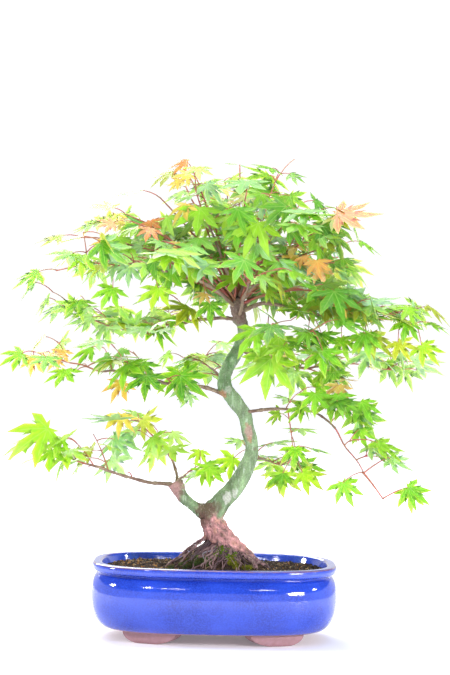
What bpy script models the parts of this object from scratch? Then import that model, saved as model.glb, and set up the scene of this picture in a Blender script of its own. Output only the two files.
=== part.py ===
"""A Japanese maple bonsai in a shallow glazed stoneware pot.

Units are metres, +Z is up, +X runs along the pot's length and -Y is the front that the tree shows.
Everything is worked out about the middle of the pot on the ground, and the last step moves it all
so that the origin lies on the ground under the middle of the tree's spread.
"""

import math

import bmesh
import bpy
import numpy as np
from mathutils import Vector
from mathutils.bvhtree import BVHTree

MM = 0.001
GAP = 0.3 * MM  # left between pieces that touch

# ------------------------------------------------------------------ the pot
POT_LENGTH = 0.261  # across the belly, its widest line
POT_WIDTH = 0.197
POT_HEIGHT = 0.080
OVAL_POWER = 3.0  # 2 is an ellipse, and more makes the sides flatter
POT_POINTS = 36  # around the oval
WALL = 0.0065
FLOOR = 0.0065
FOOT_HEIGHT = 0.012
BELLY_HEIGHT = 0.046
BASE_INSET = 0.019  # how far the foot of the bowl stands in from the belly
NECK_HEIGHT = 0.0685
NECK_INSET = 0.009
LIP_BAND = 0.0085  # height of the rolled lip above the neck
LIP_INSET = 0.0015
LIP_WIDTH = 0.0095
FOOT_START, FOOT_END = 37.0, 78.0  # degrees of the oval that a foot spans at its top
FOOT_TAPER = 9.0  # degrees lost at each end, towards the ground
FOOT_DEPTH = 0.024
FOOT_SET_BACK = 0.0025
HOLE_RADIUS = 0.011
HOLE_OFFSET = 0.055  # of each drainage hole from the middle

# ------------------------------------------------------------------ drainage
SCREEN_SIDE = 0.034
SCREEN_THICK = 0.0014
SCREEN_OPENING = 0.0065
SCREEN_PITCH = 0.009
CLIP_WIRE = 0.0015
CLIP_TAIL = 0.007  # how far the wire's ends turn out under the pot

# ------------------------------------------------------------------ soil and moss
SOIL_DROP = 0.0080  # of the soil below the top of the lip
MOUND_HEIGHT = 0.027
MOUND_LENGTH = 0.128
MOUND_WIDTH = 0.112
MOUND_X = 0.004
MOSS = {  # name: bearing in degrees, share of the mound's radius, patch radius, thickness
    "moss_front_left": (236.0, 0.60, 0.012, 0.0042),
    "moss_front_right": (300.0, 0.66, 0.010, 0.0038),
    "moss_back": (100.0, 0.62, 0.011, 0.0040),
}

# ------------------------------------------------------------------ wood, in millimetres: x, y, z, radius
ROOT_BASE = [
    (46, 0, 66, 9.5), (38, 0, 78, 11), (26, 0, 88, 12.2), (13.5, 0, 98, 13.2), (4.5, 0, 109, 13.4), (-2.5, 0, 120, 12.8),
    (-8, 0, 130, 11.6), (-15, 0, 134, 8.4), (-24, 0, 139, 6.6), (-34, 0, 147, 6.4), (-41, 0, 155, 7.4), (-46, 0, 161, 6.6),
]  # fmt: skip
TRUNK = [
    (-3, 0, 128, 10.5), (6, 1, 143, 10.5), (17, 3, 155, 10), (28, 5, 171, 9), (35, 5, 188, 7.9),
    (37, 4, 203, 7), (33, 2, 219, 7.2), (28, 0, 236, 7.4), (18, -3, 250, 7.8), (8, -5, 262, 7.8),
    (6, -5, 275, 7), (11, -3, 289, 7), (19, 0, 302, 6.8), (24, 2, 315, 6), (25, 3, 327, 5.8),
    (21, 3, 339, 7), (18, 3, 351, 7.2), (18, 3, 361, 4.5),
]  # fmt: skip
SURFACE_ROOTS = {  # bearing in degrees: reach as a share of the mound, radius in millimetres
    182: (0.86, 2.2), 206: (0.84, 1.8), 262: (0.80, 2.4), 326: (0.80, 2.6),
    352: (0.82, 2.4), 30: (0.80, 2.2), 70: (0.82, 2.0), 128: (0.84, 2.2), 156: (0.82, 1.8),
}  # fmt: skip

# name: base radius, then the route's points, all in millimetres. A route starts inside what it grows from.
LIMBS = {
    "limb_low_left": (2.3, [(-47, 0, 160), (-58, -5, 161), (-72, -12, 162), (-94, -20, 168), (-115, -26, 176),
                            (-140, -30, 184), (-164, -30, 192), (-186, -28, 202)]),
    "limb_low_up": (1.7, [(-43, 1, 159), (-42, 10, 172), (-50, 18, 188), (-66, 24, 207), (-90, 30, 230)]),
    "limb_low_right": (1.8, [(-43, -1, 158), (-38, -9, 168), (-26, -16, 171), (-14, -22, 175), (-2, -28, 179)]),
    "limb_mid_left": (2.4, [(7, -5, 257), (-19, -12, 265), (-46, -18, 267), (-73, -24, 272), (-105, -30, 278),
                            (-131, -34, 282), (-164, -38, 290), (-194, -40, 298)]),
    "limb_left_reach": (2.3, [(22, 3, 336), (2, 22, 338), (-26, 34, 334), (-63, 46, 328), (-105, 56, 324),
                              (-140, 62, 334), (-176, 62, 350)]),
    "limb_front_left": (2.3, [(19, 3, 346), (2, -14, 362), (-16, -34, 374), (-42, -54, 382), (-75, -70, 386),
                              (-112, -80, 390), (-150, -82, 392)]),
    "limb_back_left": (2.3, [(18, 3, 352), (-2, 14, 374), (-22, 30, 396), (-50, 46, 416), (-86, 56, 432),
                             (-122, 58, 442)]),
    "limb_crown_left": (2.2, [(18, 3, 354), (8, -8, 384), (-4, -20, 412), (-18, -32, 446), (-34, -40, 482)]),
    "limb_crown_back": (2.2, [(18, 3, 354), (17, 16, 386), (14, 30, 416), (8, 42, 450), (2, 50, 488)]),
    "limb_crown_right": (2.2, [(18, 3, 353), (28, -2, 384), (37, -6, 414), (46, -8, 452), (58, -8, 494)]),
    "limb_right_high": (2.3, [(18, 3, 350), (36, -10, 372), (54, -24, 393), (78, -38, 414), (112, -46, 440)]),
    "limb_right_reach": (2.6, [(19, 3, 344), (40, -4, 352), (58, -10, 354), (80, -16, 349), (106, -22, 343),
                               (133, -26, 341), (168, -30, 340), (204, -32, 336)]),
    "limb_right_mid": (2.3, [(20, 1, 305), (38, 14, 298), (60, 28, 289), (90, 42, 287), (122, 52, 290),
                             (160, 58, 290), (198, 60, 284)]),
    "limb_hanging": (2.0, [(27, -1, 238), (46, -8, 241), (68, -12, 243), (92, -18, 243), (110, -24, 238),
                           (124, -30, 222), (138, -36, 202), (152, -42, 180)]),
    "limb_low_back": (2.0, [(34, 5, 186), (46, 24, 188), (58, 44, 184), (70, 62, 178)]),
    "limb_back_low": (2.2, [(10, -5, 262), (6, 18, 272), (-4, 44, 280), (-14, 72, 286), (-22, 100, 288)]),
    "limb_back_high": (2.2, [(20, 3, 341), (28, 24, 352), (34, 52, 366), (38, 84, 374), (40, 112, 374)]),
    "limb_front_high": (2.2, [(20, 3, 338), (24, -18, 352), (28, -44, 368), (30, -72, 376), (30, -100, 374)]),
    "limb_front_right": (2.1, [(25, 3, 318), (38, -16, 322), (52, -38, 322), (68, -62, 316), (82, -86, 304)]),
    "limb_back_right": (2.2, [(19, 3, 346), (38, 22, 362), (62, 44, 378), (90, 64, 388), (118, 78, 388)]),
}  # fmt: skip
LIMB_TIP_RADIUS = 0.0011
WOOD_SHARE = 0.66  # of a limb's route that is old wood; the rest is this year's shoot

# name: the limb, the share of its wood that it leaves at, and the shoot's run in millimetres
SIDE_SHOOTS = {
    "spray_low_left_inner": ("limb_low_left", 0.72, (-18, 14, 38)),
    "spray_mid_left_inner": ("limb_mid_left", 0.62, (-26, -26, 18)),
    "spray_left_reach_inner": ("limb_left_reach", 0.62, (-22, -34, -12)),
    "spray_front_left_inner": ("limb_front_left", 0.70, (-6, -40, 10)),
    "spray_back_left_inner": ("limb_back_left", 0.66, (-20, 34, 16)),
    "spray_right_reach_front": ("limb_right_reach", 0.60, (26, -38, 10)),
    "spray_right_reach_back": ("limb_right_reach", 0.80, (28, 36, 18)),
    "spray_right_mid_front": ("limb_right_mid", 0.66, (30, -30, -14)),
    "spray_hanging_inner": ("limb_hanging", 0.46, (8, 14, -50)),
    "spray_back_right_inner": ("limb_back_right", 0.60, (10, 34, 20)),
}  # fmt: skip
SHOOT_RADIUS = 0.0011
SHOOT_TIP_RADIUS = 0.0009

# ------------------------------------------------------------------ leaves
LEAF_LOBE = 0.029  # the middle lobe, from the leaf's heart to its tip
LEAF_STALK = 0.019
LEAF_STALK_WIDTH = 0.0012
LEAF_THICK = 0.0010
LOBE_BEARINGS = (-106, -53, 0, 53, 106)  # degrees from the middle lobe
LOBE_LENGTHS = (0.58, 0.88, 1.0, 0.88, 0.58)
NOTCH_LENGTH = 0.34  # of the gaps between lobes
PAIRS_AT = (0.11, 0.42, 0.74)  # shares of a shoot where a pair of leaves grows
LEAF_TURNS = (0, 14, -14, 28, -28, 42, -42)  # degrees that a leaf may swing to find a free place
LEAF_DROOPS = (40, 54, 28, 66, 14)
LEAF_ROLL = 24  # degrees that each leaf leans outwards from its shoot
LEAF_SCALES = (1.0, 0.82, 0.66)

COLOURS = {  # red, green, blue, roughness
    "glaze": (0.05, 0.09, 0.62, 0.15), "plastic": (0.03, 0.03, 0.03, 0.5), "wire": (0.62, 0.62, 0.64, 0.35),
    "soil": (0.10, 0.06, 0.035, 0.95), "moss": (0.16, 0.22, 0.03, 0.95), "bark": (0.27, 0.25, 0.17, 0.7),
    "twig": (0.24, 0.13, 0.08, 0.6), "leaf": (0.25, 0.48, 0.04, 0.5),
}  # fmt: skip


# ------------------------------------------------------------------ small helpers
def material(name):
    """The named finish as a Principled material, made once."""
    found = bpy.data.materials.get(name)
    if found:
        return found
    made = bpy.data.materials.new(name)
    made.use_nodes = True
    shader = made.node_tree.nodes["Principled BSDF"]
    red, green, blue, rough = COLOURS[name]
    shader.inputs["Base Color"].default_value = (red, green, blue, 1)
    shader.inputs["Roughness"].default_value = rough
    shader.inputs["Metallic"].default_value = 1.0 if name == "wire" else 0.0
    return made


def new_object(name, verts, faces, finish=None, helper=False):
    """A mesh object from points and faces. A helper is a cutter or an addition, and isn't a piece itself."""
    mesh = bpy.data.meshes.new(name)
    mesh.from_pydata([tuple(map(float, v)) for v in verts], [], faces)
    mesh.validate()
    made = bpy.data.objects.new(name, mesh)
    bpy.context.scene.collection.objects.link(made)
    if finish:
        mesh.materials.append(material(finish))
    if helper:
        made.hide_render = True
        made.display_type = "WIRE"
    mesh.shade_smooth()
    mesh.set_sharp_from_angle(angle=math.radians(40))
    return made


def joined(parts):
    """Several (points, faces) as one."""
    verts, faces = [], []
    for points, polygons in parts:
        start = len(verts)
        verts += [tuple(p) for p in points]
        faces += [[i + start for i in f] for f in polygons]
    return verts, faces


def boolean(target, other, operation, crossing=False):
    """Adds a live Boolean. Crossing is for an operand that runs through itself."""
    modifier = target.modifiers.new(operation.lower(), "BOOLEAN")
    modifier.operation = operation
    modifier.object = other
    modifier.solver = "EXACT"
    modifier.use_self = crossing


def smooth_route(points, per_span=3):
    """A Catmull-Rom curve through the points, with per_span steps between each two."""
    p = np.array(points, float)
    p = np.vstack([2 * p[0] - p[1], p, 2 * p[-1] - p[-2]])
    t = np.linspace(0, 1, per_span, endpoint=False)[:, None]
    spans = []
    for a, b, c, d in zip(p[:-3], p[1:-2], p[2:-1], p[3:]):
        spans.append(0.5 * (2 * b + (c - a) * t + (2 * a - 5 * b + 4 * c - d) * t**2 + (3 * b - a - 3 * c + d) * t**3))
    return np.vstack([*spans, p[-2:-1]])


def along(route, share):
    """The point and the direction at a share of the route's length."""
    steps = np.linalg.norm(np.diff(route, axis=0), axis=1)
    at = np.concatenate([[0], np.cumsum(steps)])
    where = share * at[-1]
    i = min(int(np.searchsorted(at, where, side="right")) - 1, len(steps) - 1)
    f = (where - at[i]) / steps[i]
    return route[i] * (1 - f) + route[i + 1] * f, unit(route[i + 1] - route[i])


def unit(v):
    return np.asarray(v, float) / np.linalg.norm(v)


def part_of(route, start, end, count):
    """The route between two shares of its length, at count even points."""
    return np.array([along(route, s)[0] for s in np.linspace(start, end, count)])


def tube(route, radii, sides):
    """A closed round tube along the route, its rings turned as little as possible from one to the next."""
    route, n = np.asarray(route, float), len(route)
    tangents = np.gradient(route, axis=0)
    tangents /= np.linalg.norm(tangents, axis=1)[:, None]
    across = unit(np.cross(tangents[0], (0.31, 0.87, 0.38)))
    verts = []
    for centre, tangent, radius in zip(route, tangents, np.broadcast_to(radii, n)):
        across = unit(across - tangent * (across @ tangent))
        other = np.cross(tangent, across)
        turn = np.arange(sides) * 2 * math.pi / sides
        verts += list(centre + radius * (np.cos(turn)[:, None] * across + np.sin(turn)[:, None] * other))
    faces = [
        [r * sides + k, r * sides + (k + 1) % sides, (r + 1) * sides + (k + 1) % sides, (r + 1) * sides + k]
        for r in range(n - 1)
        for k in range(sides)
    ]
    faces += [list(range(sides))[::-1], [(n - 1) * sides + k for k in range(sides)]]
    return verts, faces


def tree_of(verts, faces):
    return BVHTree.FromPolygons([Vector(v) for v in verts], faces)


# ------------------------------------------------------------------ the pot
def oval(inset, height, points=POT_POINTS):
    """The pot's plan at a height: a superellipse that stands in from the belly line by inset."""
    turn = np.arange(points) * 2 * math.pi / points
    c, s = np.cos(turn), np.sin(turn)
    power = 2 / OVAL_POWER
    x = (POT_LENGTH / 2 - inset) * np.sign(c) * np.abs(c) ** power
    y = (POT_WIDTH / 2 - inset) * np.sign(s) * np.abs(s) ** power
    return np.stack([x, y, np.full(points, height)], axis=1)


def bowl_curve(wall):
    """(inset, height) up the bowl from its base to its neck: two quarter ellipses that meet at the belly."""
    base = FOOT_HEIGHT + (FLOOR if wall else 0)
    lower = [
        (wall + BASE_INSET * (1 - math.sin(a)), base + (BELLY_HEIGHT - base) * (1 - math.cos(a)))
        for a in np.radians([0, 22, 45, 68, 90])
    ]
    upper = [
        (wall + NECK_INSET * (1 - math.cos(a)), BELLY_HEIGHT + (NECK_HEIGHT - BELLY_HEIGHT) * math.sin(a))
        for a in np.radians([32, 62, 90])
    ]
    return lower + upper


def lip_curve():
    """(inset, height) over the rolled lip, from the neck outside to the neck inside."""
    top, low = POT_HEIGHT, POT_HEIGHT - LIP_BAND
    return [
        (NECK_INSET, low - 0.001),
        (LIP_INSET + 0.002, low),
        (LIP_INSET, low + 0.003),
        (LIP_INSET, top - 0.003),
        (LIP_INSET + 0.0022, top),
        (LIP_INSET + LIP_WIDTH, top),
        (LIP_INSET + LIP_WIDTH + 0.0015, top - 0.002),
    ]


def lofted(rings):
    """A closed surface through rings of equal length, with a flat face at each end."""
    n, count = len(rings[0]), len(rings)
    verts = [v for ring in rings for v in ring]
    faces = [
        [r * n + k, r * n + (k + 1) % n, (r + 1) * n + (k + 1) % n, (r + 1) * n + k]
        for r in range(count - 1)
        for k in range(n)
    ]
    faces += [list(range(n))[::-1], [(count - 1) * n + k for k in range(n)]]
    return verts, faces


def foot_outline(trim, inset, mirror_x, mirror_y, height):
    """A band that follows the oval's corner, from FOOT_START to FOOT_END less trim at each end."""
    turn = np.radians(np.linspace(FOOT_START + trim, FOOT_END - trim, 7))
    power, rows = 2 / OVAL_POWER, []
    for extra, angles in ((inset, turn), (FOOT_DEPTH + BASE_INSET - inset + BASE_INSET, turn[::-1])):
        x = (POT_LENGTH / 2 - extra) * np.cos(angles) ** power
        y = (POT_WIDTH / 2 - extra) * np.sin(angles) ** power
        rows.append(np.stack([x * mirror_x, y * mirror_y, np.full(len(angles), height)], axis=1))
    ring = np.vstack(rows)
    return ring if mirror_x * mirror_y > 0 else ring[::-1]


def make_pot():
    """One fired piece: the bowl with its rolled lip, four feet and two drainage holes."""
    outside = bowl_curve(0.0) + lip_curve()
    rings = [oval(inset, height) for inset, height in outside + bowl_curve(WALL)[::-1]]
    pot = new_object("pot", *lofted(rings), finish="glaze")
    for side in (-1, 1):
        for end in (-1, 1):
            inset = BASE_INSET + FOOT_SET_BACK
            levels = ((FOOT_TAPER, 0.004, 0.0), (FOOT_TAPER * 0.45, 0.0022, 0.35), (0.0, 0.0, 1.0))
            outline = [
                foot_outline(trim, inset + back, end, side, share * FOOT_HEIGHT) for trim, back, share in levels
            ]
            outline.append(foot_outline(0.0, inset, end, side, FOOT_HEIGHT + FLOOR / 2))
            foot = new_object(f"foot_{side}_{end}", *lofted(outline), helper=True)
            boolean(pot, foot, "UNION")
    for end in (-1, 1):
        ring = [
            (end * HOLE_OFFSET + HOLE_RADIUS * math.cos(a), HOLE_RADIUS * math.sin(a))
            for a in np.arange(16) * math.pi / 8
        ]
        bottom, top = FOOT_HEIGHT - FLOOR, FOOT_HEIGHT + 2 * FLOOR
        cutter = lofted([[(x, y, z) for x, y in ring] for z in (bottom, top)])
        boolean(pot, new_object(f"hole_{end}", *cutter, helper=True), "DIFFERENCE")
    return pot


def make_drainage(end, side_name):
    """A plastic screen over one drainage hole, and the bent wire that clips it from below."""
    x0, half = end * HOLE_OFFSET, SCREEN_SIDE / 2
    low = FOOT_HEIGHT + FLOOR + GAP
    high = low + SCREEN_THICK

    def block(cx, cy, h, z0, z1):
        corners = [(cx - h, cy - h), (cx + h, cy - h), (cx + h, cy + h), (cx - h, cy + h)]
        return lofted([[(x, y, z) for x, y in corners] for z in (z0, z1)])

    screen = new_object(f"drainage_screen_{side_name}", *block(x0, 0, half, low, high), finish="plastic")
    openings = [
        block(x0 + i * SCREEN_PITCH, j * SCREEN_PITCH, SCREEN_OPENING / 2, low - 0.002, high + 0.002)
        for i in (-1, 0, 1)
        for j in (-1, 0, 1)
    ]
    boolean(screen, new_object(f"openings_{side_name}", *joined(openings), helper=True), "DIFFERENCE")
    r = CLIP_WIRE / 2
    over, under = high + GAP + r, FOOT_HEIGHT - GAP - r
    leg, tail = SCREEN_PITCH, SCREEN_PITCH + CLIP_TAIL
    half_route = [(0, over), (leg - 2 * r, over), (leg, over - 2 * r), (leg, under + 2 * r), (leg + 2 * r, under)]
    half_route.append((tail, under))
    route = [(x0 - x, 0, z) for x, z in half_route[:0:-1]] + [(x0 + x, 0, z) for x, z in half_route]
    new_object(f"screen_clip_{side_name}", *tube(route, r, 6), finish="wire")
    return half, over + r


# ------------------------------------------------------------------ soil and moss
def soil_level():
    return POT_HEIGHT - SOIL_DROP


def ground(x, y):
    """Height of the soil's surface: flat, with a smooth mound under the roots."""
    away = np.hypot((x - MOUND_X) / (MOUND_LENGTH / 2), y / (MOUND_WIDTH / 2))
    return soil_level() + MOUND_HEIGHT * np.cos(np.minimum(away, 1) * math.pi / 2) ** 2


def make_soil(screen_half, clip_top):
    """Fills the bowl below the lip, and rises to the mound. It keeps pockets for the screens and clips."""
    lip_inner = LIP_INSET + LIP_WIDTH + 0.0015
    inside = [(i + GAP, z + (GAP if z <= BELLY_HEIGHT else -GAP)) for i, z in bowl_curve(WALL)]
    neck_inset = inside[-1][0]
    share = (soil_level() - NECK_HEIGHT) / (POT_HEIGHT - 0.002 - NECK_HEIGHT)
    inside.append((neck_inset + (lip_inner - WALL - NECK_INSET) * share, soil_level()))
    rings = [oval(inset, height) for inset, height in inside]
    edge = rings[-1]
    centre = np.array([MOUND_X, 0, 0])
    for f in (0.84, 0.66, 0.50, 0.36, 0.22, 0.09):
        ring = edge * f + centre * (1 - f)
        ring[:, 2] = ground(ring[:, 0], ring[:, 1])
        rings.append(ring)
    soil = new_object("soil", *lofted(rings), finish="soil")
    for end in (-1, 1):
        h = screen_half + GAP
        x0, z0, z1 = end * HOLE_OFFSET, FOOT_HEIGHT, clip_top + GAP
        corners = [(x0 - h, -h), (x0 + h, -h), (x0 + h, h), (x0 - h, h)]
        pocket = lofted([[(x, y, z) for x, y in corners] for z in (z0, z1)])
        boolean(soil, new_object(f"pocket_{end}", *pocket, helper=True), "DIFFERENCE")
    return soil


def make_moss(name, soil_surface):
    """A low cushion of moss that lies on the mound, closed underneath."""
    bearing, share, radius, thick = MOSS[name]
    cx = MOUND_X + share * MOUND_LENGTH / 2 * math.cos(math.radians(bearing))
    cy = share * MOUND_WIDTH / 2 * math.sin(math.radians(bearing))

    def under(x, y):
        hit = soil_surface.ray_cast(Vector((x, y, 1)), Vector((0, 0, -1)))[0]
        return hit.z + 2 * GAP

    spokes, verts = 10, []
    for f, rise in ((0.55, 0.0), (1.0, 0.0), (1.04, 0.35), (0.72, 0.85), (0.3, 1.0)):
        for k in range(spokes):
            turn = 2 * math.pi * k / spokes
            r = radius * f * (1 + 0.14 * math.cos(3 * turn + bearing))
            x, y = cx + r * math.cos(turn), cy + r * math.sin(turn)
            verts.append((x, y, under(x, y) + rise * thick))
    rings = [verts[i * spokes : (i + 1) * spokes] for i in range(5)]
    return new_object(name, *lofted(rings), finish="moss")


# ------------------------------------------------------------------ wood
def surface_root(bearing, extra):
    """One root: out of the trunk's base, down over the mound and into the soil at its end."""
    reach, radius = SURFACE_ROOTS[bearing]
    radius = radius * MM
    c, s = math.cos(math.radians(bearing)), math.sin(math.radians(bearing))
    start = np.array([0.010 + 0.010 * c, 0.008 * s])
    end = np.array([MOUND_X + reach * MOUND_LENGTH / 2 * c, reach * MOUND_WIDTH / 2 * s])
    route = []
    for f in np.linspace(0, 1, 7):
        x, y = start * (1 - f) + end * f
        clear = ground(x, y) + radius + 0.0012
        z = max(0.103 * (1 - f) + (soil_level() + radius) * f, clear) if f < 0.95 else ground(x, y) - 0.004
        route.append((x, y, z))
    return tube(route, radius * np.linspace(1.5, 0.8, 7) + extra, 6)


def trunk_pieces(extra):
    """The trunk, then the base with its cut stub and the roots, each fattened by extra."""
    main = smooth_route(TRUNK, 2) * MM
    base = smooth_route(ROOT_BASE, 2) * MM
    trunk = tube(main[:, :3], main[:, 3] + extra, 10)
    others = [tube(base[:, :3], base[:, 3] + extra, 10)]
    others += [surface_root(bearing, extra) for bearing in SURFACE_ROOTS]
    return trunk, joined(others)


def make_trunk(soil):
    """Trunk, root base, stub and surface roots grew as one piece. The soil gets their socket."""
    stem, others = trunk_pieces(0.0)
    trunk = new_object("trunk", *stem, finish="bark")
    boolean(trunk, new_object("root_base", *others, helper=True), "UNION", crossing=True)
    fat_stem, fat_others = trunk_pieces(GAP)
    socket = new_object("socket", *joined([fat_stem, fat_others]), helper=True)
    boolean(soil, socket, "DIFFERENCE", crossing=True)
    return socket, [tree_of(*fat_stem), tree_of(*fat_others)]


def make_limb(name, socket):
    """A limb's old wood, its heel shaped to the trunk's bark."""
    base_mm, points = LIMBS[name]
    route = smooth_route(np.array(points) * MM)
    wood = part_of(route, 0.0, WOOD_SHARE, 8)
    radii = np.linspace(base_mm * MM, LIMB_TIP_RADIUS, len(wood))
    limb = new_object(name, *tube(wood, radii, 6), finish="twig")
    boolean(limb, socket, "DIFFERENCE", crossing=True)
    return route, wood, tree_of(*tube(wood, radii, 6)), tree_of(*tube(wood, radii + GAP, 6))


# ------------------------------------------------------------------ leafy shoots
def leaf_outline(scale):
    """The flat outline of one palmate leaf with its stalk, which starts at the origin. The leaf points along +X."""
    lobe, half = LEAF_LOBE * scale, LEAF_STALK_WIDTH / 2
    heart = LEAF_STALK * scale
    points = [(0, -half), (heart - 0.05 * lobe, -half)]
    for i, (bearing, length) in enumerate(zip(LOBE_BEARINGS, LOBE_LENGTHS)):
        a = math.radians(bearing)
        points.append((heart + lobe * length * math.cos(a), lobe * length * math.sin(a)))
        if i < len(LOBE_BEARINGS) - 1:
            a = math.radians((bearing + LOBE_BEARINGS[i + 1]) / 2)
            points.append((heart + lobe * NOTCH_LENGTH * math.cos(a), lobe * NOTCH_LENGTH * math.sin(a)))
    return points + [(heart - 0.05 * lobe, half), (0, half)]


def leaf_plate(origin, bearing, droop, roll, scale, extra=0.0):
    """A leaf as a thin plate at origin. It points to a compass bearing, droops, and rolls about its stalk, in degrees."""
    b, d, r = np.radians([bearing, droop, roll])
    forward = np.array([math.cos(b) * math.cos(d), math.sin(b) * math.cos(d), -math.sin(d)])
    level = np.array([-math.sin(b), math.cos(b), 0.0])
    sideways = level * math.cos(r) + np.cross(forward, level) * math.sin(r)
    up = np.cross(forward, sideways)
    outline = leaf_outline(scale * (1 + 2 * extra / LEAF_LOBE))
    half = LEAF_THICK / 2 + extra
    rings = [[origin + forward * x + sideways * y + up * z for x, y in outline] for z in (-half, half)]
    return lofted(rings)


class Crowd:
    """What already stands in the crown, so that each leaf can find a free place."""

    def __init__(self, trees):
        self.taken = [(None, tree) for tree in trees]

    def free(self, verts, faces, owner):
        shape = tree_of(verts, faces)
        return not any(shape.overlap(tree) for who, tree in self.taken if who is not owner or owner is None)

    def add(self, owner, verts, faces):
        self.taken.append((owner, tree_of(verts, faces)))


def make_spray(name, route, crowd):
    """A leafy shoot: this year's stem with leaves in opposite pairs and one at its tip, grown as one piece."""
    radii = np.linspace(SHOOT_RADIUS, SHOOT_TIP_RADIUS, len(route))
    spray = new_object(name, *tube(route, radii, 5), finish="leaf")
    crowd.add(name, *tube(route, radii + GAP, 5))
    leaves = []
    seats = [(share + 0.008 * side, side) for share in PAIRS_AT for side in (-1, 1)] + [(0.98, 0)]
    for share, side in seats:
        origin, forward = along(route, share)
        heading = math.degrees(math.atan2(forward[1], forward[0])) + side * (62 - 14 * share)
        for scale, droop, turn in ((s, d, t) for s in LEAF_SCALES for d in LEAF_DROOPS for t in LEAF_TURNS):
            seat = (origin, heading + turn, droop, -side * LEAF_ROLL, scale)
            if crowd.free(*leaf_plate(*seat, extra=GAP), name):
                leaves.append(leaf_plate(*seat))
                crowd.add(name, *leaf_plate(*seat, extra=GAP))
                break
    if leaves:
        boolean(spray, new_object(f"leaves_of_{name}", *joined(leaves), helper=True), "UNION", crossing=True)


def make_crown(crowd, limbs):
    """All shoots: one ends each limb, and some leave a limb's side."""
    for name, (route, wood, _) in limbs.items():
        shoot = part_of(route, WOOD_SHARE, 1.0, 5)
        shoot[0] = wood[-1] + unit(wood[-1] - wood[-2]) * GAP
        make_spray(name.replace("limb", "spray"), shoot, crowd)
    for name, (limb, share, run) in SIDE_SHOOTS.items():
        _, wood, bark = limbs[limb]
        origin, forward = along(wood, share)
        run = np.array(run) * MM
        away = unit(run - forward * (run @ forward))
        skin = bark.ray_cast(Vector(origin + away * 0.02), Vector(-away))[0]
        tilt = abs(unit(run) @ forward)
        start = np.array(skin) + away * (2 * GAP + SHOOT_RADIUS * tilt)
        bend = run * 0.5 + away * 0.12 * np.linalg.norm(run)
        shoot = smooth_route([start, start + bend, start + run], 2)
        make_spray(name, shoot, crowd)


def centre_on_spread():
    """Parents every piece to an empty that puts the origin on the ground under the middle of the spread."""
    bpy.context.view_layer.update()
    graph = bpy.context.evaluated_depsgraph_get()
    corners = []
    for piece in bpy.data.objects:
        if piece.type == "MESH" and not piece.hide_render:
            corners += [piece.evaluated_get(graph).matrix_world @ Vector(c) for c in piece.evaluated_get(graph).bound_box]
    corners = np.array(corners)
    middle = (corners.min(0) + corners.max(0)) / 2
    placement = bpy.data.objects.new("placement", None)
    bpy.context.scene.collection.objects.link(placement)
    for piece in list(bpy.data.objects):
        if piece.type == "MESH":
            piece.parent = placement
    placement.location = (-middle[0], -middle[1], -corners.min(0)[2])


def main():
    for old in list(bpy.data.objects):
        bpy.data.objects.remove(old)
    make_pot()
    half, clip_top = make_drainage(-1, "left")
    make_drainage(1, "right")
    soil = make_soil(half, clip_top)
    surface = tree_of([v.co for v in soil.data.vertices], [list(p.vertices) for p in soil.data.polygons])
    for name in MOSS:
        make_moss(name, surface)
    socket, trees = make_trunk(soil)
    limbs = {}
    for name in LIMBS:
        *limbs[name], fat = make_limb(name, socket)
        trees.append(fat)
    trees.append(surface)
    make_crown(Crowd(trees), limbs)
    centre_on_spread()


main()
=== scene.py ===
# %% [markdown]
# # A maple bonsai in a glazed pot
# The real object is a Japanese maple, about half a metre tall with its pot. It was trained for years: the
# stem is bent into an S, the roots are bare where they leave the trunk, and the leaves spread in loose tiers.
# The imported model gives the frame: where the pot stands, how big it is, and how far the crown may reach.
# Everything seen here is a finer surface around that frame. Each shape is worked out with numpy as whole
# arrays, because a plant repeats a few simple forms hundreds of times with small changes.

# %% Load the frame
import math

import bpy
import numpy as np
from mathutils import Matrix, Vector


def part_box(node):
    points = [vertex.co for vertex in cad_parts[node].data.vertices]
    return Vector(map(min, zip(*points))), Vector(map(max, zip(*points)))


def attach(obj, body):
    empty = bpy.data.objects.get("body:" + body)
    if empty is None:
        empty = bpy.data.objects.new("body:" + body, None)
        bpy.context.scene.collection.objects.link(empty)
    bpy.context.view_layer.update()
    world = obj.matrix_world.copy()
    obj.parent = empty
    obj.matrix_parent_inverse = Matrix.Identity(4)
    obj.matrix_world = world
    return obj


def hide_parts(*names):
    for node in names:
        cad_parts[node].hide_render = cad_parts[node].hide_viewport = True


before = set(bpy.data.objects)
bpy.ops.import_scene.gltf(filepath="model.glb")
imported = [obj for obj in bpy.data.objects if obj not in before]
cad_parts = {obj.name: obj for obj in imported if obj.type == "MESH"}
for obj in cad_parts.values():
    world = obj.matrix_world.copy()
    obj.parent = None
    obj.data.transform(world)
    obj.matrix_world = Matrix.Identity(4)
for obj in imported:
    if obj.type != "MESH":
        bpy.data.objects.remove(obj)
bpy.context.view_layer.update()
MM = 0.001
pot_low, pot_high = (np.array(corner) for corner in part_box("pot"))
POT_MIDDLE = np.array([*(pot_low + pot_high)[:2] / 2, 0.0])
POT_LENGTH, POT_WIDTH, POT_HEIGHT = pot_high - pot_low
print("pot", (pot_high - pot_low).round(4), "middle", POT_MIDDLE.round(4))

# %% [markdown]
# ## Tools for surfaces
# A shape is written as rings of points: the first index walks along the shape and the second walks round it.
# Joining each ring to the next gives a skin of four-sided faces, and a flat cap closes each end, so every
# piece is a closed solid. Points are measured from the middle of the pot, on the ground.


# %% Rings, skins and pieces
def ring_faces(count, around):
    """Faces between rings: point k of a ring, its neighbour, and the same two on the next ring."""
    i, k = np.meshgrid(np.arange(count - 1), np.arange(around), indexing="ij")
    a, b = i * around + k, i * around + (k + 1) % around
    return np.stack([a, b, b + around, a + around], -1).reshape(-1, 4)


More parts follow.
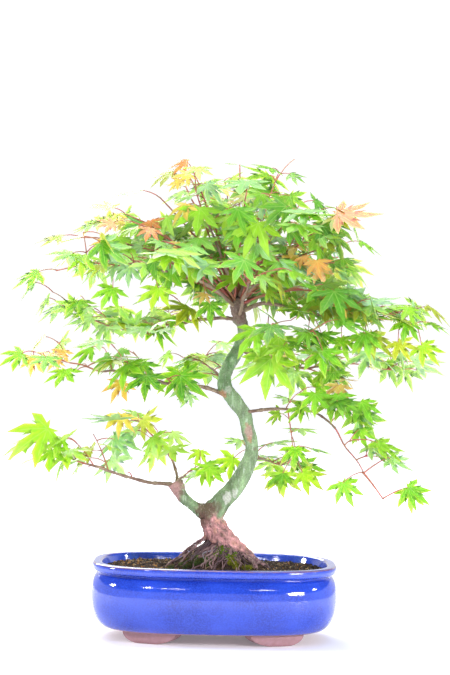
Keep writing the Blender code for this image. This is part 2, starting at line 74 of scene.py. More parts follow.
def skin(rings):
    """Points and faces of a closed skin over an array of rings, with a flat cap at the first and the last."""
    count, around = rings.shape[:2]
    caps = [np.arange(around)[::-1], (count - 1) * around + np.arange(around)]
    return rings.reshape(-1, 3), ring_faces(count, around).tolist() + [cap.tolist() for cap in caps]


def write_field(mesh, name, values):
    """Stores one number or one colour for each point, for the finish to read."""
    values = np.asarray(values, float)
    if values.ndim == 1:
        mesh.attributes.new(name, "FLOAT", "POINT").data.foreach_set("value", values)
    else:
        rgba = np.concatenate([values, np.ones((len(values), 1))], axis=1)
        mesh.attributes.new(name, "FLOAT_COLOR", "POINT").data.foreach_set("color", rgba.ravel())


def add_piece(name, verts, faces, finish, slot, stands_for=(), **fields):
    """Makes a piece of the plant or pot, and lets it ride on the frame."""
    mesh = bpy.data.meshes.new(name)
    mesh.from_pydata((np.asarray(verts) + POT_MIDDLE).tolist(), [], faces)
    mesh.shade_smooth()
    mesh.materials.append(finish)
    for field, values in fields.items():
        write_field(mesh, field, values)
    piece = bpy.data.objects.new(name, mesh)
    bpy.context.scene.collection.objects.link(piece)
    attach(piece, "root")
    if stands_for:
        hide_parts(*stands_for)
    return piece


def settle(piece):
    """Applies a piece's modifiers. Returns its points, from the pot's middle, and their normals."""
    graph = bpy.context.evaluated_depsgraph_get()
    mesh = bpy.data.meshes.new_from_object(piece.evaluated_get(graph))
    piece.modifiers.clear()
    piece.data = mesh
    mesh.name = piece.name
    mesh.shade_smooth()
    points, normals = np.empty((2, len(mesh.vertices), 3), np.float32)
    mesh.vertices.foreach_get("co", points.ravel())
    mesh.vertices.foreach_get("normal", normals.ravel())
    return points - POT_MIDDLE, normals


# %% [markdown]
# Nothing that grows is smooth or straight. A ripple is a sum of sine waves that run in random directions,
# which gives soft lumps of one chosen size at any point in space. It is the same in every run, because its
# random numbers come from a fixed seed.


# %% Ripples, routes and tubes
def ripple(points, size, seed, waves=10):
    """Soft noise near -1 to 1: the mean of sines of (point . direction) / size, over random directions."""
    rng = np.random.default_rng(seed)
    direction = rng.normal(size=(waves, 3))
    direction /= np.linalg.norm(direction, axis=1)[:, None]
    pace = 2 * math.pi / size * rng.uniform(0.7, 1.4, waves)
    phase = rng.uniform(0, 2 * math.pi, waves)
    return np.sin(points @ direction.T * pace + phase).sum(axis=-1) / math.sqrt(waves)


def smooth_route(points, per_span=4):
    """A Catmull-Rom curve: between two points it is the cubic that also heeds the point before and after."""
    p = np.asarray(points, float)
    p = np.vstack([2 * p[0] - p[1], p, 2 * p[-1] - p[-2]])
    a, b, c, d = (p[i : len(p) - 3 + i, None, :] for i in range(4))
    t = np.linspace(0, 1, per_span, endpoint=False)[None, :, None]
    curve = 0.5 * (2 * b + (c - a) * t + (2 * a - 5 * b + 4 * c - d) * t**2 + (3 * b - a - 3 * c + d) * t**3)
    return np.vstack([curve.reshape(-1, p.shape[1]), p[-2]])


def at_shares(route, shares):
    """Points and directions at shares of a route's length, by linear steps between its points."""
    walked = np.concatenate([[0], np.cumsum(np.linalg.norm(np.diff(route, axis=0), axis=1))])
    where = np.atleast_1d(shares) * walked[-1]
    columns = [np.interp(where, walked, route[:, c]) for c in range(3)]
    ahead = [np.interp(where + 0.002, walked, route[:, c]) for c in range(3)]
    behind = [np.interp(where - 0.002, walked, route[:, c]) for c in range(3)]
    heading = np.stack(ahead, -1) - np.stack(behind, -1)
    return np.stack(columns, -1), heading / np.linalg.norm(heading, axis=1)[:, None]


def unit(v):
    """Vectors over their lengths."""
    return v / np.linalg.norm(v, axis=-1, keepdims=True)


def tubes(paths, radii, sides):
    """Closed tubes, one for each path of an array (paths, steps, 3): at each step a circle of the given
    radius, square to the path and turned as little as possible from the circle before it."""
    paths = np.asarray(paths, float)
    count, steps = paths.shape[:2]
    radii = np.broadcast_to(radii, (count, steps))
    along = unit(np.gradient(paths, axis=1))
    across = unit(np.cross(along[:, 0], (0.31, 0.87, 0.38)))
    turn = np.arange(sides) * 2 * math.pi / sides
    rings = []
    for step in range(steps):
        across = unit(across - along[:, step] * (across * along[:, step]).sum(-1, keepdims=True))
        other = np.cross(along[:, step], across)
        circle = np.cos(turn)[:, None] * across[:, None] + np.sin(turn)[:, None] * other[:, None]
        rings.append(paths[:, step, None] + radii[:, step, None, None] * circle)
    verts = np.stack(rings, axis=1).reshape(-1, 3)
    starts = np.arange(count)[:, None, None] * steps * sides
    quads = (starts + ring_faces(steps, sides)[None]).reshape(-1, 4)
    caps = np.stack([np.arange(sides)[::-1], (steps - 1) * sides + np.arange(sides)])
    return verts, quads.tolist() + (starts + caps[None]).reshape(-1, sides).tolist()


def together(*shapes):
    """Several shapes as one list of points and one of faces."""
    verts, faces, start = [], [], 0
    for points, polygons in shapes:
        verts.append(points)
        faces += [[i + start for i in face] for face in polygons]
        start += len(points)
    return np.vstack(verts), faces


# %% [markdown]
# ## Tools for finishes
# Each finish is one Principled shader. Its colour comes from a few nodes: noise at the scale of the real
# grain, or a field that was stored on the points. What is the same all over is set on the shader itself.


# %% Nodes
def new_finish(name, **sockets):
    """A material, its node tree and its shader, with the constant values set on the shader."""
    finish = bpy.data.materials.new(name)
    finish.use_nodes = True
    tree = finish.node_tree
    shader = tree.nodes["Principled BSDF"]
    for socket, value in sockets.items():
        shader.inputs[socket.replace("_", " ")].default_value = value
    return finish, tree, shader


def node(tree, kind, sockets=None, **settings):
    """Adds a node. Each socket takes a value, or another node's output to be joined to it."""
    made = tree.nodes.new("ShaderNode" + kind)
    for key, value in settings.items():
        setattr(made, key, value)
    for key, value in (sockets or {}).items():
        if isinstance(value, bpy.types.NodeSocket):
            tree.links.new(value, made.inputs[key])
        else:
            made.inputs[key].default_value = value
    return made


def colour(rgb):
    """Red, green and blue with full cover."""
    return (*rgb, 1.0)


def mixed(tree, factor, first, second):
    """A colour between two, by the factor."""
    first, second = (c if isinstance(c, bpy.types.NodeSocket) else colour(c) for c in (first, second))
    sockets = {0: factor, 6: first, 7: second}
    return node(tree, "Mix", sockets, data_type="RGBA").outputs[2]


def ramp(tree, factor, *stops):
    """A number from 0 to 1 turned into a number, by straight lines between (position, value) stops."""
    made = node(tree, "ValToRGB", {0: factor})
    elements = made.color_ramp.elements
    while len(elements) < len(stops):
        elements.new(0.5)
    for element, (position, value) in zip(elements, stops):
        element.position, element.color = position, (value, value, value, 1)
    return made.outputs[0]


def grain(tree, size, detail=3.0, stretch=(1, 1, 1)):
    """Noise in object space whose lumps measure about size, in metres."""
    place = node(tree, "TexCoord").outputs["Object"]
    place = node(tree, "Mapping", {"Vector": place, "Scale": stretch}).outputs[0]
    return node(tree, "TexNoise", {"Vector": place, "Scale": 1 / size, "Detail": detail}).outputs[0]


def field(tree, name, output="Color"):
    """A field that was stored on the points: its colour, or its number with the output Fac."""
    return node(tree, "Attribute", attribute_name=name).outputs[output]


def relief(tree, shader, height, depth, strength=1.0):
    """Bump: light falls as if the surface rose by height times depth, in metres."""
    bump = node(tree, "Bump", {"Height": height, "Distance": depth, "Strength": strength})
    tree.links.new(bump.outputs[0], shader.inputs["Normal"])


def tint(tree, shader, source, socket="Base Color"):
    """Joins an output to one of the shader's sockets."""
    tree.links.new(source, shader.inputs[socket])


# %% [markdown]
# ## The studio
# The camera stands a little over two metres away, level with the middle of the tree, and is turned a touch
# about its own axis. A long lens keeps the pot's oval shallow.

# %% Camera
CAMERA_PLACE = (0.0059, -2.235, 0.317)  # from the pot's middle, in metres
CAMERA_ROLL = 1.2  # degrees
LENS = 112.4
camera_data = bpy.data.cameras.new("camera")
camera_data.lens, camera_data.sensor_width, camera_data.sensor_fit = LENS, 36.0, "AUTO"
camera = bpy.data.objects.new("camera", camera_data)
bpy.context.scene.collection.objects.link(camera)
camera.matrix_world = (
    Matrix.Translation(POT_MIDDLE + np.array(CAMERA_PLACE))
    @ Matrix.Rotation(math.radians(90), 4, "X")
    @ Matrix.Rotation(math.radians(CAMERA_ROLL), 4, "Z")
)
bpy.context.scene.camera = camera
bpy.context.scene.view_settings.view_transform = "Standard"
print("camera at", camera.matrix_world.translation)

# %% [markdown]
# The sky is white near the horizon and dimmer overhead. What the glaze mirrors has a crisper edge than the
# daylight that the sky gives: a dim room above a bright table. The floor is a white opal sheet that glows with
# a painted light of its own, faintly blue, weakest near the pot and strongest far off, so that it stays white to the
# horizon.

# %% Sky and floor
DAYLIGHT = ((0.0, 1.0), (0.22, 1.0), (0.42, 0.44), (1.0, 0.36))  # height of the sky, brightness
MIRRORED = ((0.0, 1.0), (0.29, 1.0), (0.315, 0.16), (1.0, 0.12))
GLOW_NEAR, GLOW_FAR = (0.22, 0.15), (1.2, 0.66)  # metres from the pot, strength of the floor's own light
FLOOR_HALF = 15
sky = bpy.data.worlds.new("sky")
bpy.context.scene.world = sky
sky.use_nodes = True
sky_height = node(sky.node_tree, "SeparateXYZ", {0: node(sky.node_tree, "TexCoord").outputs["Generated"]})
daylight = ramp(sky.node_tree, sky_height.outputs[2], *DAYLIGHT)
mirrored = ramp(sky.node_tree, sky_height.outputs[2], *MIRRORED)
shiny = node(sky.node_tree, "LightPath").outputs["Is Glossy Ray"]
sky_tone = mixed(sky.node_tree, shiny, daylight, mirrored)
sky.node_tree.links.new(sky_tone, sky.node_tree.nodes["Background"].inputs["Color"])
sky.node_tree.nodes["Background"].inputs["Strength"].default_value = 1.05

floor_finish, floor_tree, floor_shader = new_finish(
    "studio_floor", Roughness=0.6, Specular_IOR_Level=0.2, Emission_Color=(0.93, 0.94, 1.0, 1))
opal = mixed(floor_tree, grain(floor_tree, 0.4), (0.88, 0.88, 0.93), (0.91, 0.91, 0.95))
tint(floor_tree, floor_shader, opal)
# The floor's painted glow rises with the distance from the pot.
away = node(floor_tree, "VectorMath", {0: node(floor_tree, "TexCoord").outputs["Object"]}, operation="LENGTH")
glow = node(floor_tree, "MapRange", {0: away.outputs["Value"], 1: GLOW_NEAR[0], 2: GLOW_FAR[0],
                                     3: GLOW_NEAR[1], 4: GLOW_FAR[1]})
tint(floor_tree, floor_shader, glow.outputs[0], "Emission Strength")
floor_mesh = bpy.data.meshes.new("studio_floor")
floor_corners = [(x * FLOOR_HALF, y * FLOOR_HALF, 0) for x, y in ((-1, -1), (1, -1), (1, 1), (-1, 1))]
floor_mesh.from_pydata(floor_corners, [], [(0, 1, 2, 3)])
floor_mesh.materials.append(floor_finish)
floor = bpy.data.objects.new("studio_floor", floor_mesh)
bpy.context.scene.collection.objects.link(floor)
print("floor", 2 * FLOOR_HALF, "m wide")

# %% [markdown]
# Soft lamps stand left, right, above and behind, as in a light tent. Two small ones and two narrow strips give
# the glaze its sharp highlights.

# %% Lamps
LAMP_AIM = Vector((0, 0, 0.25))
LAMPS = {  # place, width and height in metres, watts
    "lamp_left": ((-2.6, -0.25, 1.25), (0.40, 0.26), 44),
    "lamp_right": ((1.55, -1.45, 0.72), (0.70, 0.26), 34),
    "lamp_top": ((0.1, 0.3, 2.2), (1.2, 1.2), 50),
    "lamp_back": ((-0.6, 1.9, 1.3), (1.2, 1.2), 46),
    "small_left": ((-1.15, -1.9, 1.45), (0.22, 0.10), 7),
    "small_right": ((2.5, -0.35, 1.20), (0.26, 0.16), 9),
    "strip_left": ((-0.55, -2.3, 1.45), (0.55, 0.03), 3),
    "strip_right": ((0.75, -2.2, 1.5), (0.6, 0.03), 4),
}
for name, (place, size, watts) in LAMPS.items():
    lamp_data = bpy.data.lights.new(name, "AREA")
    lamp_data.shape, lamp_data.energy = "RECTANGLE", watts
    lamp_data.size, lamp_data.size_y = size
    lamp = bpy.data.objects.new(name, lamp_data)
    bpy.context.scene.collection.objects.link(lamp)
    turn_to_pot = (Vector(place) - LAMP_AIM).to_track_quat("Z", "Y")
    lamp.matrix_world = Matrix.Translation(place) @ turn_to_pot.to_matrix().to_4x4()
print("lamps", len(LAMPS))

# %% [markdown]
# ## The pot
# An oval stoneware bowl with a rolled lip, glazed outside and over the lip, and bare underneath. A potter
# would press it in a mould, because it isn't round. Its plan is a superellipse, which is an ellipse with
# flatter sides: x and y are the cosine and sine of the turn, each raised to a power under one. The upright
# curve is carried round that plan by moving the plan inwards, so that the lip keeps one width all round.

# %% The pot's plan and its upright curve
OVAL_POWER = 3.0
WALL, FLOOR = 6.5 * MM, 6.5 * MM
FOOT_HEIGHT, BELLY_HEIGHT, NECK_HEIGHT = 12 * MM, 47 * MM, 68.5 * MM
BASE_INSET, NECK_INSET = 19 * MM, 9 * MM
POT_AROUND = 216


def oval(inset, height, around=POT_AROUND):
    """The plan at each height: half length and width less the inset, times cosine and sine to a power."""
    turn = np.arange(around) * 2 * math.pi / around
    inset, height = np.atleast_1d(inset)[:, None], np.atleast_1d(height)[:, None]
    power = 2 / OVAL_POWER
    x = (POT_LENGTH / 2 - inset) * np.sign(np.cos(turn)) * np.abs(np.cos(turn)) ** power
    y = (POT_WIDTH / 2 - inset) * np.sign(np.sin(turn)) * np.abs(np.sin(turn)) ** power
    return np.stack([x, y, np.broadcast_to(height, x.shape)], -1)


def bowl_curve(wall, steps):
    """Inset and height up the bowl: a quarter ellipse out to the belly, then one back in to the neck."""
    base = FOOT_HEIGHT + (FLOOR if wall else 0)
    a = np.radians(np.linspace(0, 90, steps))
    b = a[1:]
    inset = np.concatenate([wall + BASE_INSET * (1 - np.sin(a)), wall + NECK_INSET * (1 - np.cos(b))])
    rise = BELLY_HEIGHT + (NECK_HEIGHT - BELLY_HEIGHT) * np.sin(b)
    return np.stack([inset, np.concatenate([base + (BELLY_HEIGHT - base) * (1 - np.cos(a)), rise])], -1)


LIP = [
    (9.0, 69.0), (9.6, 69.8), (9.0, 70.9), (6.6, 71.4), (3.9, 71.7), (2.3, 72.4), (1.6, 73.9),
    (1.4, 76.2), (1.8, 78.3), (3.0, 79.6), (5.0, 80.0), (9.0, 80.0), (11.0, 79.6), (12.1, 78.4),
    (12.8, 76.2), (13.8, 73.0),
]
lip_curve = smooth_route(LIP, 5) * MM
lip_curve[:, 1] = np.minimum(lip_curve[:, 1], POT_HEIGHT)
pot_curve = np.vstack([bowl_curve(0.0, 26), lip_curve, bowl_curve(WALL, 14)[::-1]])
bowl = skin(oval(pot_curve[:, 0], pot_curve[:, 1]))
print("bowl points", len(bowl[0]))

# %% [markdown]
# The four feet were pressed on at the corners before firing. Each follows the oval for about forty degrees,
# is widest where it meets the bowl, and narrows to the ground with a soft lower edge.

# %% One foot
FOOT_START, FOOT_END = 37.0, 78.0  # degrees round the oval
FOOT_TRIM = 15.75  # degrees that each end loses on its way down
FOOT_INSET, FOOT_BACK, FOOT_DEEP = 2.5 * MM, 5 * MM, 24 * MM


def foot(mirror_x, mirror_y):
    """Rings up one foot: an arc of the oval and a second inside it, shortened downwards by a quarter
    circle. The mirrors are 1 or -1."""
    share = np.array([0.0, 0.04, 0.12, 0.25, 0.42, 0.6, 0.78, 0.92, 1.0, 1.25])
    low = 1 - np.minimum(share, 1)
    shrink = 1 - np.sqrt(1 - 0.985 * low**2)
    trim, back = FOOT_TRIM * shrink, FOOT_BACK * shrink
    s = np.linspace(0, 1, 25)
    turn = np.radians(FOOT_START + trim[:, None] + s * (FOOT_END - FOOT_START - 2 * trim[:, None]))
    outer = BASE_INSET + FOOT_INSET + back[:, None] + 0 * turn
    arcs = []
    for inset, angle in ((outer, turn), (2 * BASE_INSET + FOOT_DEEP - outer, turn[:, ::-1])):
        x = (POT_LENGTH / 2 - inset) * np.cos(angle) ** (2 / OVAL_POWER) * mirror_x
        y = (POT_WIDTH / 2 - inset) * np.sin(angle) ** (2 / OVAL_POWER) * mirror_y
        arcs.append(np.stack([x, y, (share * FOOT_HEIGHT)[:, None] + 0 * x], -1))
    rings = np.concatenate(arcs, axis=1)
    return skin(rings if mirror_x * mirror_y > 0 else rings[:, ::-1])


print("faces of one foot", len(foot(1, 1)[1]))

# %% [markdown]
# The feet are joined to the bowl with a Boolean union, and the two drainage holes are cut with a Boolean
# difference, so that the pot stays one closed solid.


# %% The finished bowl
HOLE_RADIUS, HOLE_OFFSET = 11 * MM, 55 * MM
HOLE_LOW, HOLE_HIGH = 6 * MM, 30 * MM  # past both faces of the pot's floor
HOLE_SIDES = 32


def helper(name, verts, faces):
    """A shape for a Boolean, which is removed once it has done its work."""
    mesh = bpy.data.meshes.new(name)
    mesh.from_pydata((verts + POT_MIDDLE).tolist(), [], faces)
    made = bpy.data.objects.new(name, mesh)
    bpy.context.scene.collection.objects.link(made)
    return made


glaze_finish, glaze_tree, glaze_shader = new_finish("blue_glaze", Specular_IOR_Level=0.85)
pot = add_piece("pot_bowl", *bowl, glaze_finish, "glaze", ["pot"])
feet = helper("feet", *together(*(foot(x, y) for x in (-1, 1) for y in (-1, 1))))
turn = np.arange(HOLE_SIDES) * 2 * math.pi / HOLE_SIDES
hole_ring = np.stack([np.cos(turn), np.sin(turn), 0 * turn], -1) * HOLE_RADIUS
holes = helper("holes", *together(*(
    skin(np.stack([hole_ring + (x, 0, z) for z in (HOLE_LOW, HOLE_HIGH)])) for x in (-HOLE_OFFSET, HOLE_OFFSET)
)))
for other, operation in ((feet, "UNION"), (holes, "DIFFERENCE")):
    cut = pot.modifiers.new(operation.lower(), "BOOLEAN")
    cut.operation, cut.object, cut.solver = operation, other, "EXACT"
pot_points, _ = settle(pot)
for done in (feet, holes):
    bpy.data.objects.remove(done)
print("pot faces", len(pot.data.polygons))

# %% [markdown]
# The glaze is a deep, wet blue with fine darker and lighter specks. It runs thin over the two edges of the
# lip, where the brown clay shows through, and it stops just short of the ground. Those two places are stored
# as fields, from each point's height and its distance in from the belly.

# %% Where the glaze is thin and where it stops
LIP_EDGES = ((2.9, 1.0), (11.2, 0.8))  # inset of the lip's outer and inner edge in mm, how brown it is
LIP_EDGE_WIDTH, LIP_EDGE_HEIGHT, CLAY_LINE = 0.8, 77.5, 13.4  # mm
span = np.abs(pot_points[:, :2]) / (POT_LENGTH / 2, POT_WIDTH / 2)
oval_share = (span**OVAL_POWER).sum(axis=1) ** (1 / OVAL_POWER)
inset_mm = (1 - oval_share) * np.hypot(*pot_points[:, :2].T) / np.maximum(oval_share, 0.01) / MM
height_mm = pot_points[:, 2] / MM
edge = sum(brown * np.exp(-(((inset_mm - place) / LIP_EDGE_WIDTH) ** 2)) for place, brown in LIP_EDGES)
write_field(pot.data, "thin_glaze", edge * np.clip((height_mm - LIP_EDGE_HEIGHT) / 2, 0, 1))
write_field(pot.data, "bare_clay", np.clip((CLAY_LINE - height_mm) / 0.8, 0, 1))
pot.data.set_sharp_from_angle(angle=math.radians(50))
print("points on bare clay", (height_mm < CLAY_LINE).sum())

# %% [markdown]
# The glaze's colour is mixed in layers: fine specks first, then broad clouds, then the brown of the lip's
# edges, and last the bare clay. The shader is shiny on glaze and matt on clay.

# %% Glaze and bare clay
DARK_SPECK, LIGHT_SPECK, CLOUD = (0.007, 0.026, 0.31), (0.017, 0.060, 0.52), (0.022, 0.072, 0.60)
fine, broad = grain(glaze_tree, 0.0016, 2.0), grain(glaze_tree, 0.03, 2.0)
speck = mixed(glaze_tree, ramp(glaze_tree, fine, (0.36, 0), (0.66, 1)), DARK_SPECK, LIGHT_SPECK)
cloud = mixed(glaze_tree, ramp(glaze_tree, broad, (0.35, 0), (0.7, 0.6)), speck, CLOUD)
worn = node(glaze_tree, "Math", {0: field(glaze_tree, "thin_glaze", "Fac"),
                                 1: ramp(glaze_tree, grain(glaze_tree, 0.006), (0.3, 0.45), (0.6, 1))},
            operation="MULTIPLY").outputs[0]
glazed = mixed(glaze_tree, worn, cloud, (0.30, 0.16, 0.13))
clay_tone = mixed(glaze_tree, grain(glaze_tree, 0.004), (0.27, 0.13, 0.14), (0.41, 0.235, 0.27))
clay_edge = node(glaze_tree, "Math", {0: field(glaze_tree, "bare_clay", "Fac"),
                                      1: ramp(glaze_tree, grain(glaze_tree, 0.012), (0.3, -0.25), (0.7, 0.25))},
                 operation="ADD").outputs[0]
clay_share = ramp(glaze_tree, clay_edge, (0.42, 0), (0.58, 1))
tint(glaze_tree, glaze_shader, mixed(glaze_tree, clay_share, glazed, clay_tone))
tint(glaze_tree, glaze_shader, ramp(glaze_tree, clay_share, (0, 0.075), (1, 0.75)), "Roughness")
relief(glaze_tree, glaze_shader, mixed(glaze_tree, 0.5, grain(glaze_tree, 0.011, 1.0), fine), 0.0004, 0.25)

# %% [markdown]
# ## Soil
# Bonsai soil is a coarse mix of fired clay, bark and grit, heaped under the roots. Its surface is a height
# over the pot's plan: flat, with a mound that follows a squared cosine, and two sizes of noise on top. The
# bed is one closed solid: rings up the inner wall of the pot, and then rings that shrink towards the mound.

# %% The heaped soil
SOIL_LEVEL = POT_HEIGHT - 8 * MM
MOUND_HEIGHT, MOUND_HALF = 27 * MM, np.array([64, 56]) * MM
MOUND_MIDDLE = np.array([4, 0]) * MM
SOIL_UNDERSIDE, SOIL_GAP = 22.9 * MM, 0.35 * MM
SOIL_EDGE = (14.3 * MM, SOIL_LEVEL - 0.6 * MM)  # inset and height where the bed meets the lip
TOP_RINGS = 70


def off_mound(x, y):
    """Distance from the mound's middle: 0 there, and 1 at the foot of the mound."""
    return np.hypot((x - MOUND_MIDDLE[0]) / MOUND_HALF[0], y / MOUND_HALF[1])


def ground(x, y):
    """Height of the soil: its level, and over the mound its height times the squared cosine of the
    distance from its middle."""
    return SOIL_LEVEL + MOUND_HEIGHT * np.cos(np.minimum(off_mound(x, y), 1) * math.pi / 2) ** 2


def crumbly(x, y):
    """The ground with its clods: noise at 9 mm and at 3 mm."""
    place = np.stack([x, y, 0 * x], -1) / MM
    return ground(x, y) + (0.7 * ripple(place, 9, 71) + 0.5 * ripple(place, 3.2, 72)) * MM


inner_wall = bowl_curve(WALL, 14)
inner_wall = inner_wall[inner_wall[:, 1] > SOIL_UNDERSIDE] + (SOIL_GAP, 0)
side_curve = np.vstack([inner_wall, SOIL_EDGE])
side = oval(side_curve[:, 0], side_curve[:, 1])
inwards = (1 - np.linspace(0, 1, TOP_RINGS + 2)[1:-1])[:, None]
rim_ring = side[-1]
top_x = rim_ring[:, 0] * inwards + MOUND_MIDDLE[0] * (1 - inwards)
top_y = rim_ring[:, 1] * inwards
top = np.stack([top_x, top_y, crumbly(top_x, top_y)], -1)
soil_finish, soil_tree, soil_shader = new_finish("soil_crumb", Roughness=0.95, Specular_IOR_Level=0.25)
soil = add_piece("soil_bed", *skin(np.concatenate([side, top])), soil_finish, "soil", ["soil"])
crumb = mixed(soil_tree, ramp(soil_tree, grain(soil_tree, 0.0022, 4.0), (0.35, 0), (0.65, 1)),
              (0.014, 0.008, 0.007), (0.060, 0.032, 0.022))
golden = mixed(soil_tree, ramp(soil_tree, grain(soil_tree, 0.0040, 3.0), (0.58, 0), (0.70, 0.5)), crumb,
               (0.20, 0.09, 0.03))
tint(soil_tree, soil_shader, golden)
relief(soil_tree, soil_shader, grain(soil_tree, 0.0015, 5.0), 0.001, 1.0)
print("soil", len(soil.data.polygons), "faces")

# %% [markdown]
# The loose grains lie on the bed as small twenty-sided stones, each squashed and turned its own way. Most are
# dark clay and bark. Golden fired clay lies mostly at the left, and hardly any of it on the mound.

# %% Grit
PHI = (1 + 5**0.5) / 2
STONE = unit(np.array([(-1, PHI, 0), (1, PHI, 0), (-1, -PHI, 0), (1, -PHI, 0), (0, -1, PHI), (0, 1, PHI),
                       (0, -1, -PHI), (0, 1, -PHI), (PHI, 0, -1), (PHI, 0, 1), (-PHI, 0, -1), (-PHI, 0, 1)]))
STONE_FACES = [
    (0, 11, 5), (0, 5, 1), (0, 1, 7), (0, 7, 10), (0, 10, 11), (1, 5, 9), (5, 11, 4), (11, 10, 2),
    (10, 7, 6), (7, 1, 8), (3, 9, 4), (3, 4, 2), (3, 2, 6), (3, 6, 8), (3, 8, 9), (4, 9, 5), (2, 4, 11),
    (6, 2, 10), (8, 6, 7), (9, 8, 1),
]
GRAINS = 6500
rng = np.random.default_rng(41)
spin = np.linalg.qr(rng.normal(size=(GRAINS, 3, 3)))[0]
spin[np.linalg.det(spin) < 0] *= -1
share = np.sqrt(rng.random(GRAINS)) * 0.985
around = rng.integers(0, POT_AROUND, GRAINS)
grit_xy = rim_ring[around, :2] * share[:, None] + rng.normal(0, 0.6, (GRAINS, 2)) * MM  # 0.6 mm off the rays
grit_size = rng.lognormal(math.log(0.78), 0.40, GRAINS).clip(0.35, 2.0) * MM
squash = rng.uniform(0.6, 1.15, (GRAINS, 1, 3))
lumps = 1 + 0.16 * rng.normal(size=(GRAINS, len(STONE), 1))
middle = np.column_stack([grit_xy, crumbly(*grit_xy.T) + grit_size * 0.25])
grit = middle[:, None] + (STONE * squash * lumps @ spin) * grit_size[:, None, None]
EARTH = np.array([(0.014, 0.008, 0.008), (0.035, 0.018, 0.014), (0.075, 0.036, 0.024), (0.42, 0.19, 0.035),
                  (0.38, 0.23, 0.11), (0.34, 0.30, 0.27)])
LEFT_ODDS = np.array([0.36, 0.27, 0.18, 0.11, 0.05, 0.03])
RIGHT_ODDS = np.array([0.50, 0.28, 0.12, 0.02, 0.05, 0.03])
leftness = np.clip(0.5 - grit_xy[:, :1] / (60 * MM), 0, 1)
odds = np.cumsum(leftness * LEFT_ODDS + (1 - leftness) * RIGHT_ODDS, axis=1)
darker = np.where(off_mound(*grit_xy.T) < 0.85, 0.72, 1.0)[:, None]
kind = np.minimum((rng.random((GRAINS, 1)) * darker > odds).sum(axis=1), len(EARTH) - 1)
grit_tint = EARTH[kind] * rng.uniform(0.7, 1.3, (GRAINS, 1))
grit_finish, grit_tree, grit_shader = new_finish("grit", Roughness=0.85)
dust = ramp(grit_tree, grain(grit_tree, 0.0007, 3.0), (0.3, 0), (0.7, 0.5))
tint(grit_tree, grit_shader, mixed(grit_tree, dust, field(grit_tree, "tint"), (0.03, 0.015, 0.01)))
relief(grit_tree, grit_shader, grain(grit_tree, 0.0005, 3.0), 0.0003, 0.8)
grit_faces = (np.arange(GRAINS)[:, None, None] * len(STONE) + np.array(STONE_FACES)).reshape(-1, 3).tolist()
add_piece("soil_grit", grit.reshape(-1, 3), grit_faces, grit_finish, "soil",
          tint=np.repeat(grit_tint, len(STONE), axis=0))
print("grains", GRAINS)

# %% [markdown]
# Bits of straw, bark and dead root lie loose on the grit. They are short sticks, laid level at every bearing.

# %% Litter
STICKS = 240
rng = np.random.default_rng(43)
middle = rim_ring[rng.integers(0, POT_AROUND, STICKS), :2] * np.sqrt(rng.random((STICKS, 1))) * 0.95
bearing = rng.uniform(0, 2 * math.pi, STICKS)
half = rng.uniform(1.5, 5.0, STICKS)[:, None] * MM
step = np.linspace(-1, 1, 4)[None, :, None]
run = np.stack([np.cos(bearing), np.sin(bearing)], -1)[:, None] * step * half[..., None]
stick_xy = middle[:, None] + run + rng.normal(0, 0.3, (STICKS, 4, 2)) * MM
stick_z = crumbly(stick_xy[..., 0], stick_xy[..., 1]) + rng.uniform(0.6, 1.8, (STICKS, 1)) * MM
stick_radius = rng.uniform(0.16, 0.42, (STICKS, 1)) * MM
sticks = tubes(np.concatenate([stick_xy, stick_z[..., None]], -1), stick_radius, 5)
inside_rim = np.abs(sticks[0][:, 0]) < POT_LENGTH / 2 - 15 * MM
litter_finish, litter_tree, litter_shader = new_finish("straw", Roughness=0.8)
pale_share = ramp(litter_tree, grain(litter_tree, 0.008, 2.0), (0.35, 0), (0.65, 1))
tint(litter_tree, litter_shader, mixed(litter_tree, pale_share, (0.10, 0.05, 0.03), (0.42, 0.30, 0.16)))
relief(litter_tree, litter_shader, grain(litter_tree, 0.0006), 0.0003, 0.8)
add_piece("soil_litter", *sticks, litter_finish, "soil")
print("sticks", STICKS, "all inside the rim", bool(inside_rim.all()))

# %% [markdown]
# ## Moss
# Moss holds the mound together between the roots. Up close a tuft is a crowd of tiny upright sprigs, so each
# patch is a few low domes with dozens of sprigs on every one, each a three-sided spike that leans outwards.
# The patches vary from yellow-green at the sunny front to a deep, dull green at the left.

# %% Moss patches and their finish
MOSS = {  # bearing in degrees, share of the mound's radius, patch radius, thickness, tufts, and the colour
    "moss_front_left": (236.0, 0.60, 13.0, 2.6, 11, (0.045, 0.080, 0.018)),
    "moss_front_right": (300.0, 0.66, 10.0, 3.2, 9, (0.21, 0.23, 0.014)),
    "moss_back": (100.0, 0.62, 12.0, 3.0, 10, (0.08, 0.14, 0.02)),
    "moss_high": (284.0, 0.42, 11.0, 3.4, 8, (0.14, 0.26, 0.02)),
    "moss_low": (208.0, 0.74, 13.0, 2.2, 7, (0.06, 0.085, 0.025)),
}
moss_finish, moss_tree, moss_shader = new_finish("moss", Roughness=0.9, Specular_IOR_Level=0.2,
                                                 Subsurface_Weight=0.2, Subsurface_Scale=0.0008)
shady = ramp(moss_tree, grain(moss_tree, 0.0016, 3.0), (0.35, 0), (0.7, 0.7))
tint(moss_tree, moss_shader, mixed(moss_tree, shady, field(moss_tree, "tint"), (0.02, 0.022, 0.010)))
relief(moss_tree, moss_shader, grain(moss_tree, 0.0008, 3.0), 0.0005, 1.0)
print("moss patches", len(MOSS))

# %% [markdown]
# A tuft's dome has three and five soft corners, so no two outlines match. Its lowest ring goes a little into
# the soil. The sprigs stand on the dome and lean away from its middle.

# %% Tufts and sprigs
DOME_AROUND, DOME_RINGS, DOME_SUNK = 20, 8, 1.5 * MM
SPRIGS, SPRIG_SIDES = 60, 3
SPRIG_RADII = np.array([[0.42, 0.36, 0.05]]) * MM  # at its foot, its middle and its tip


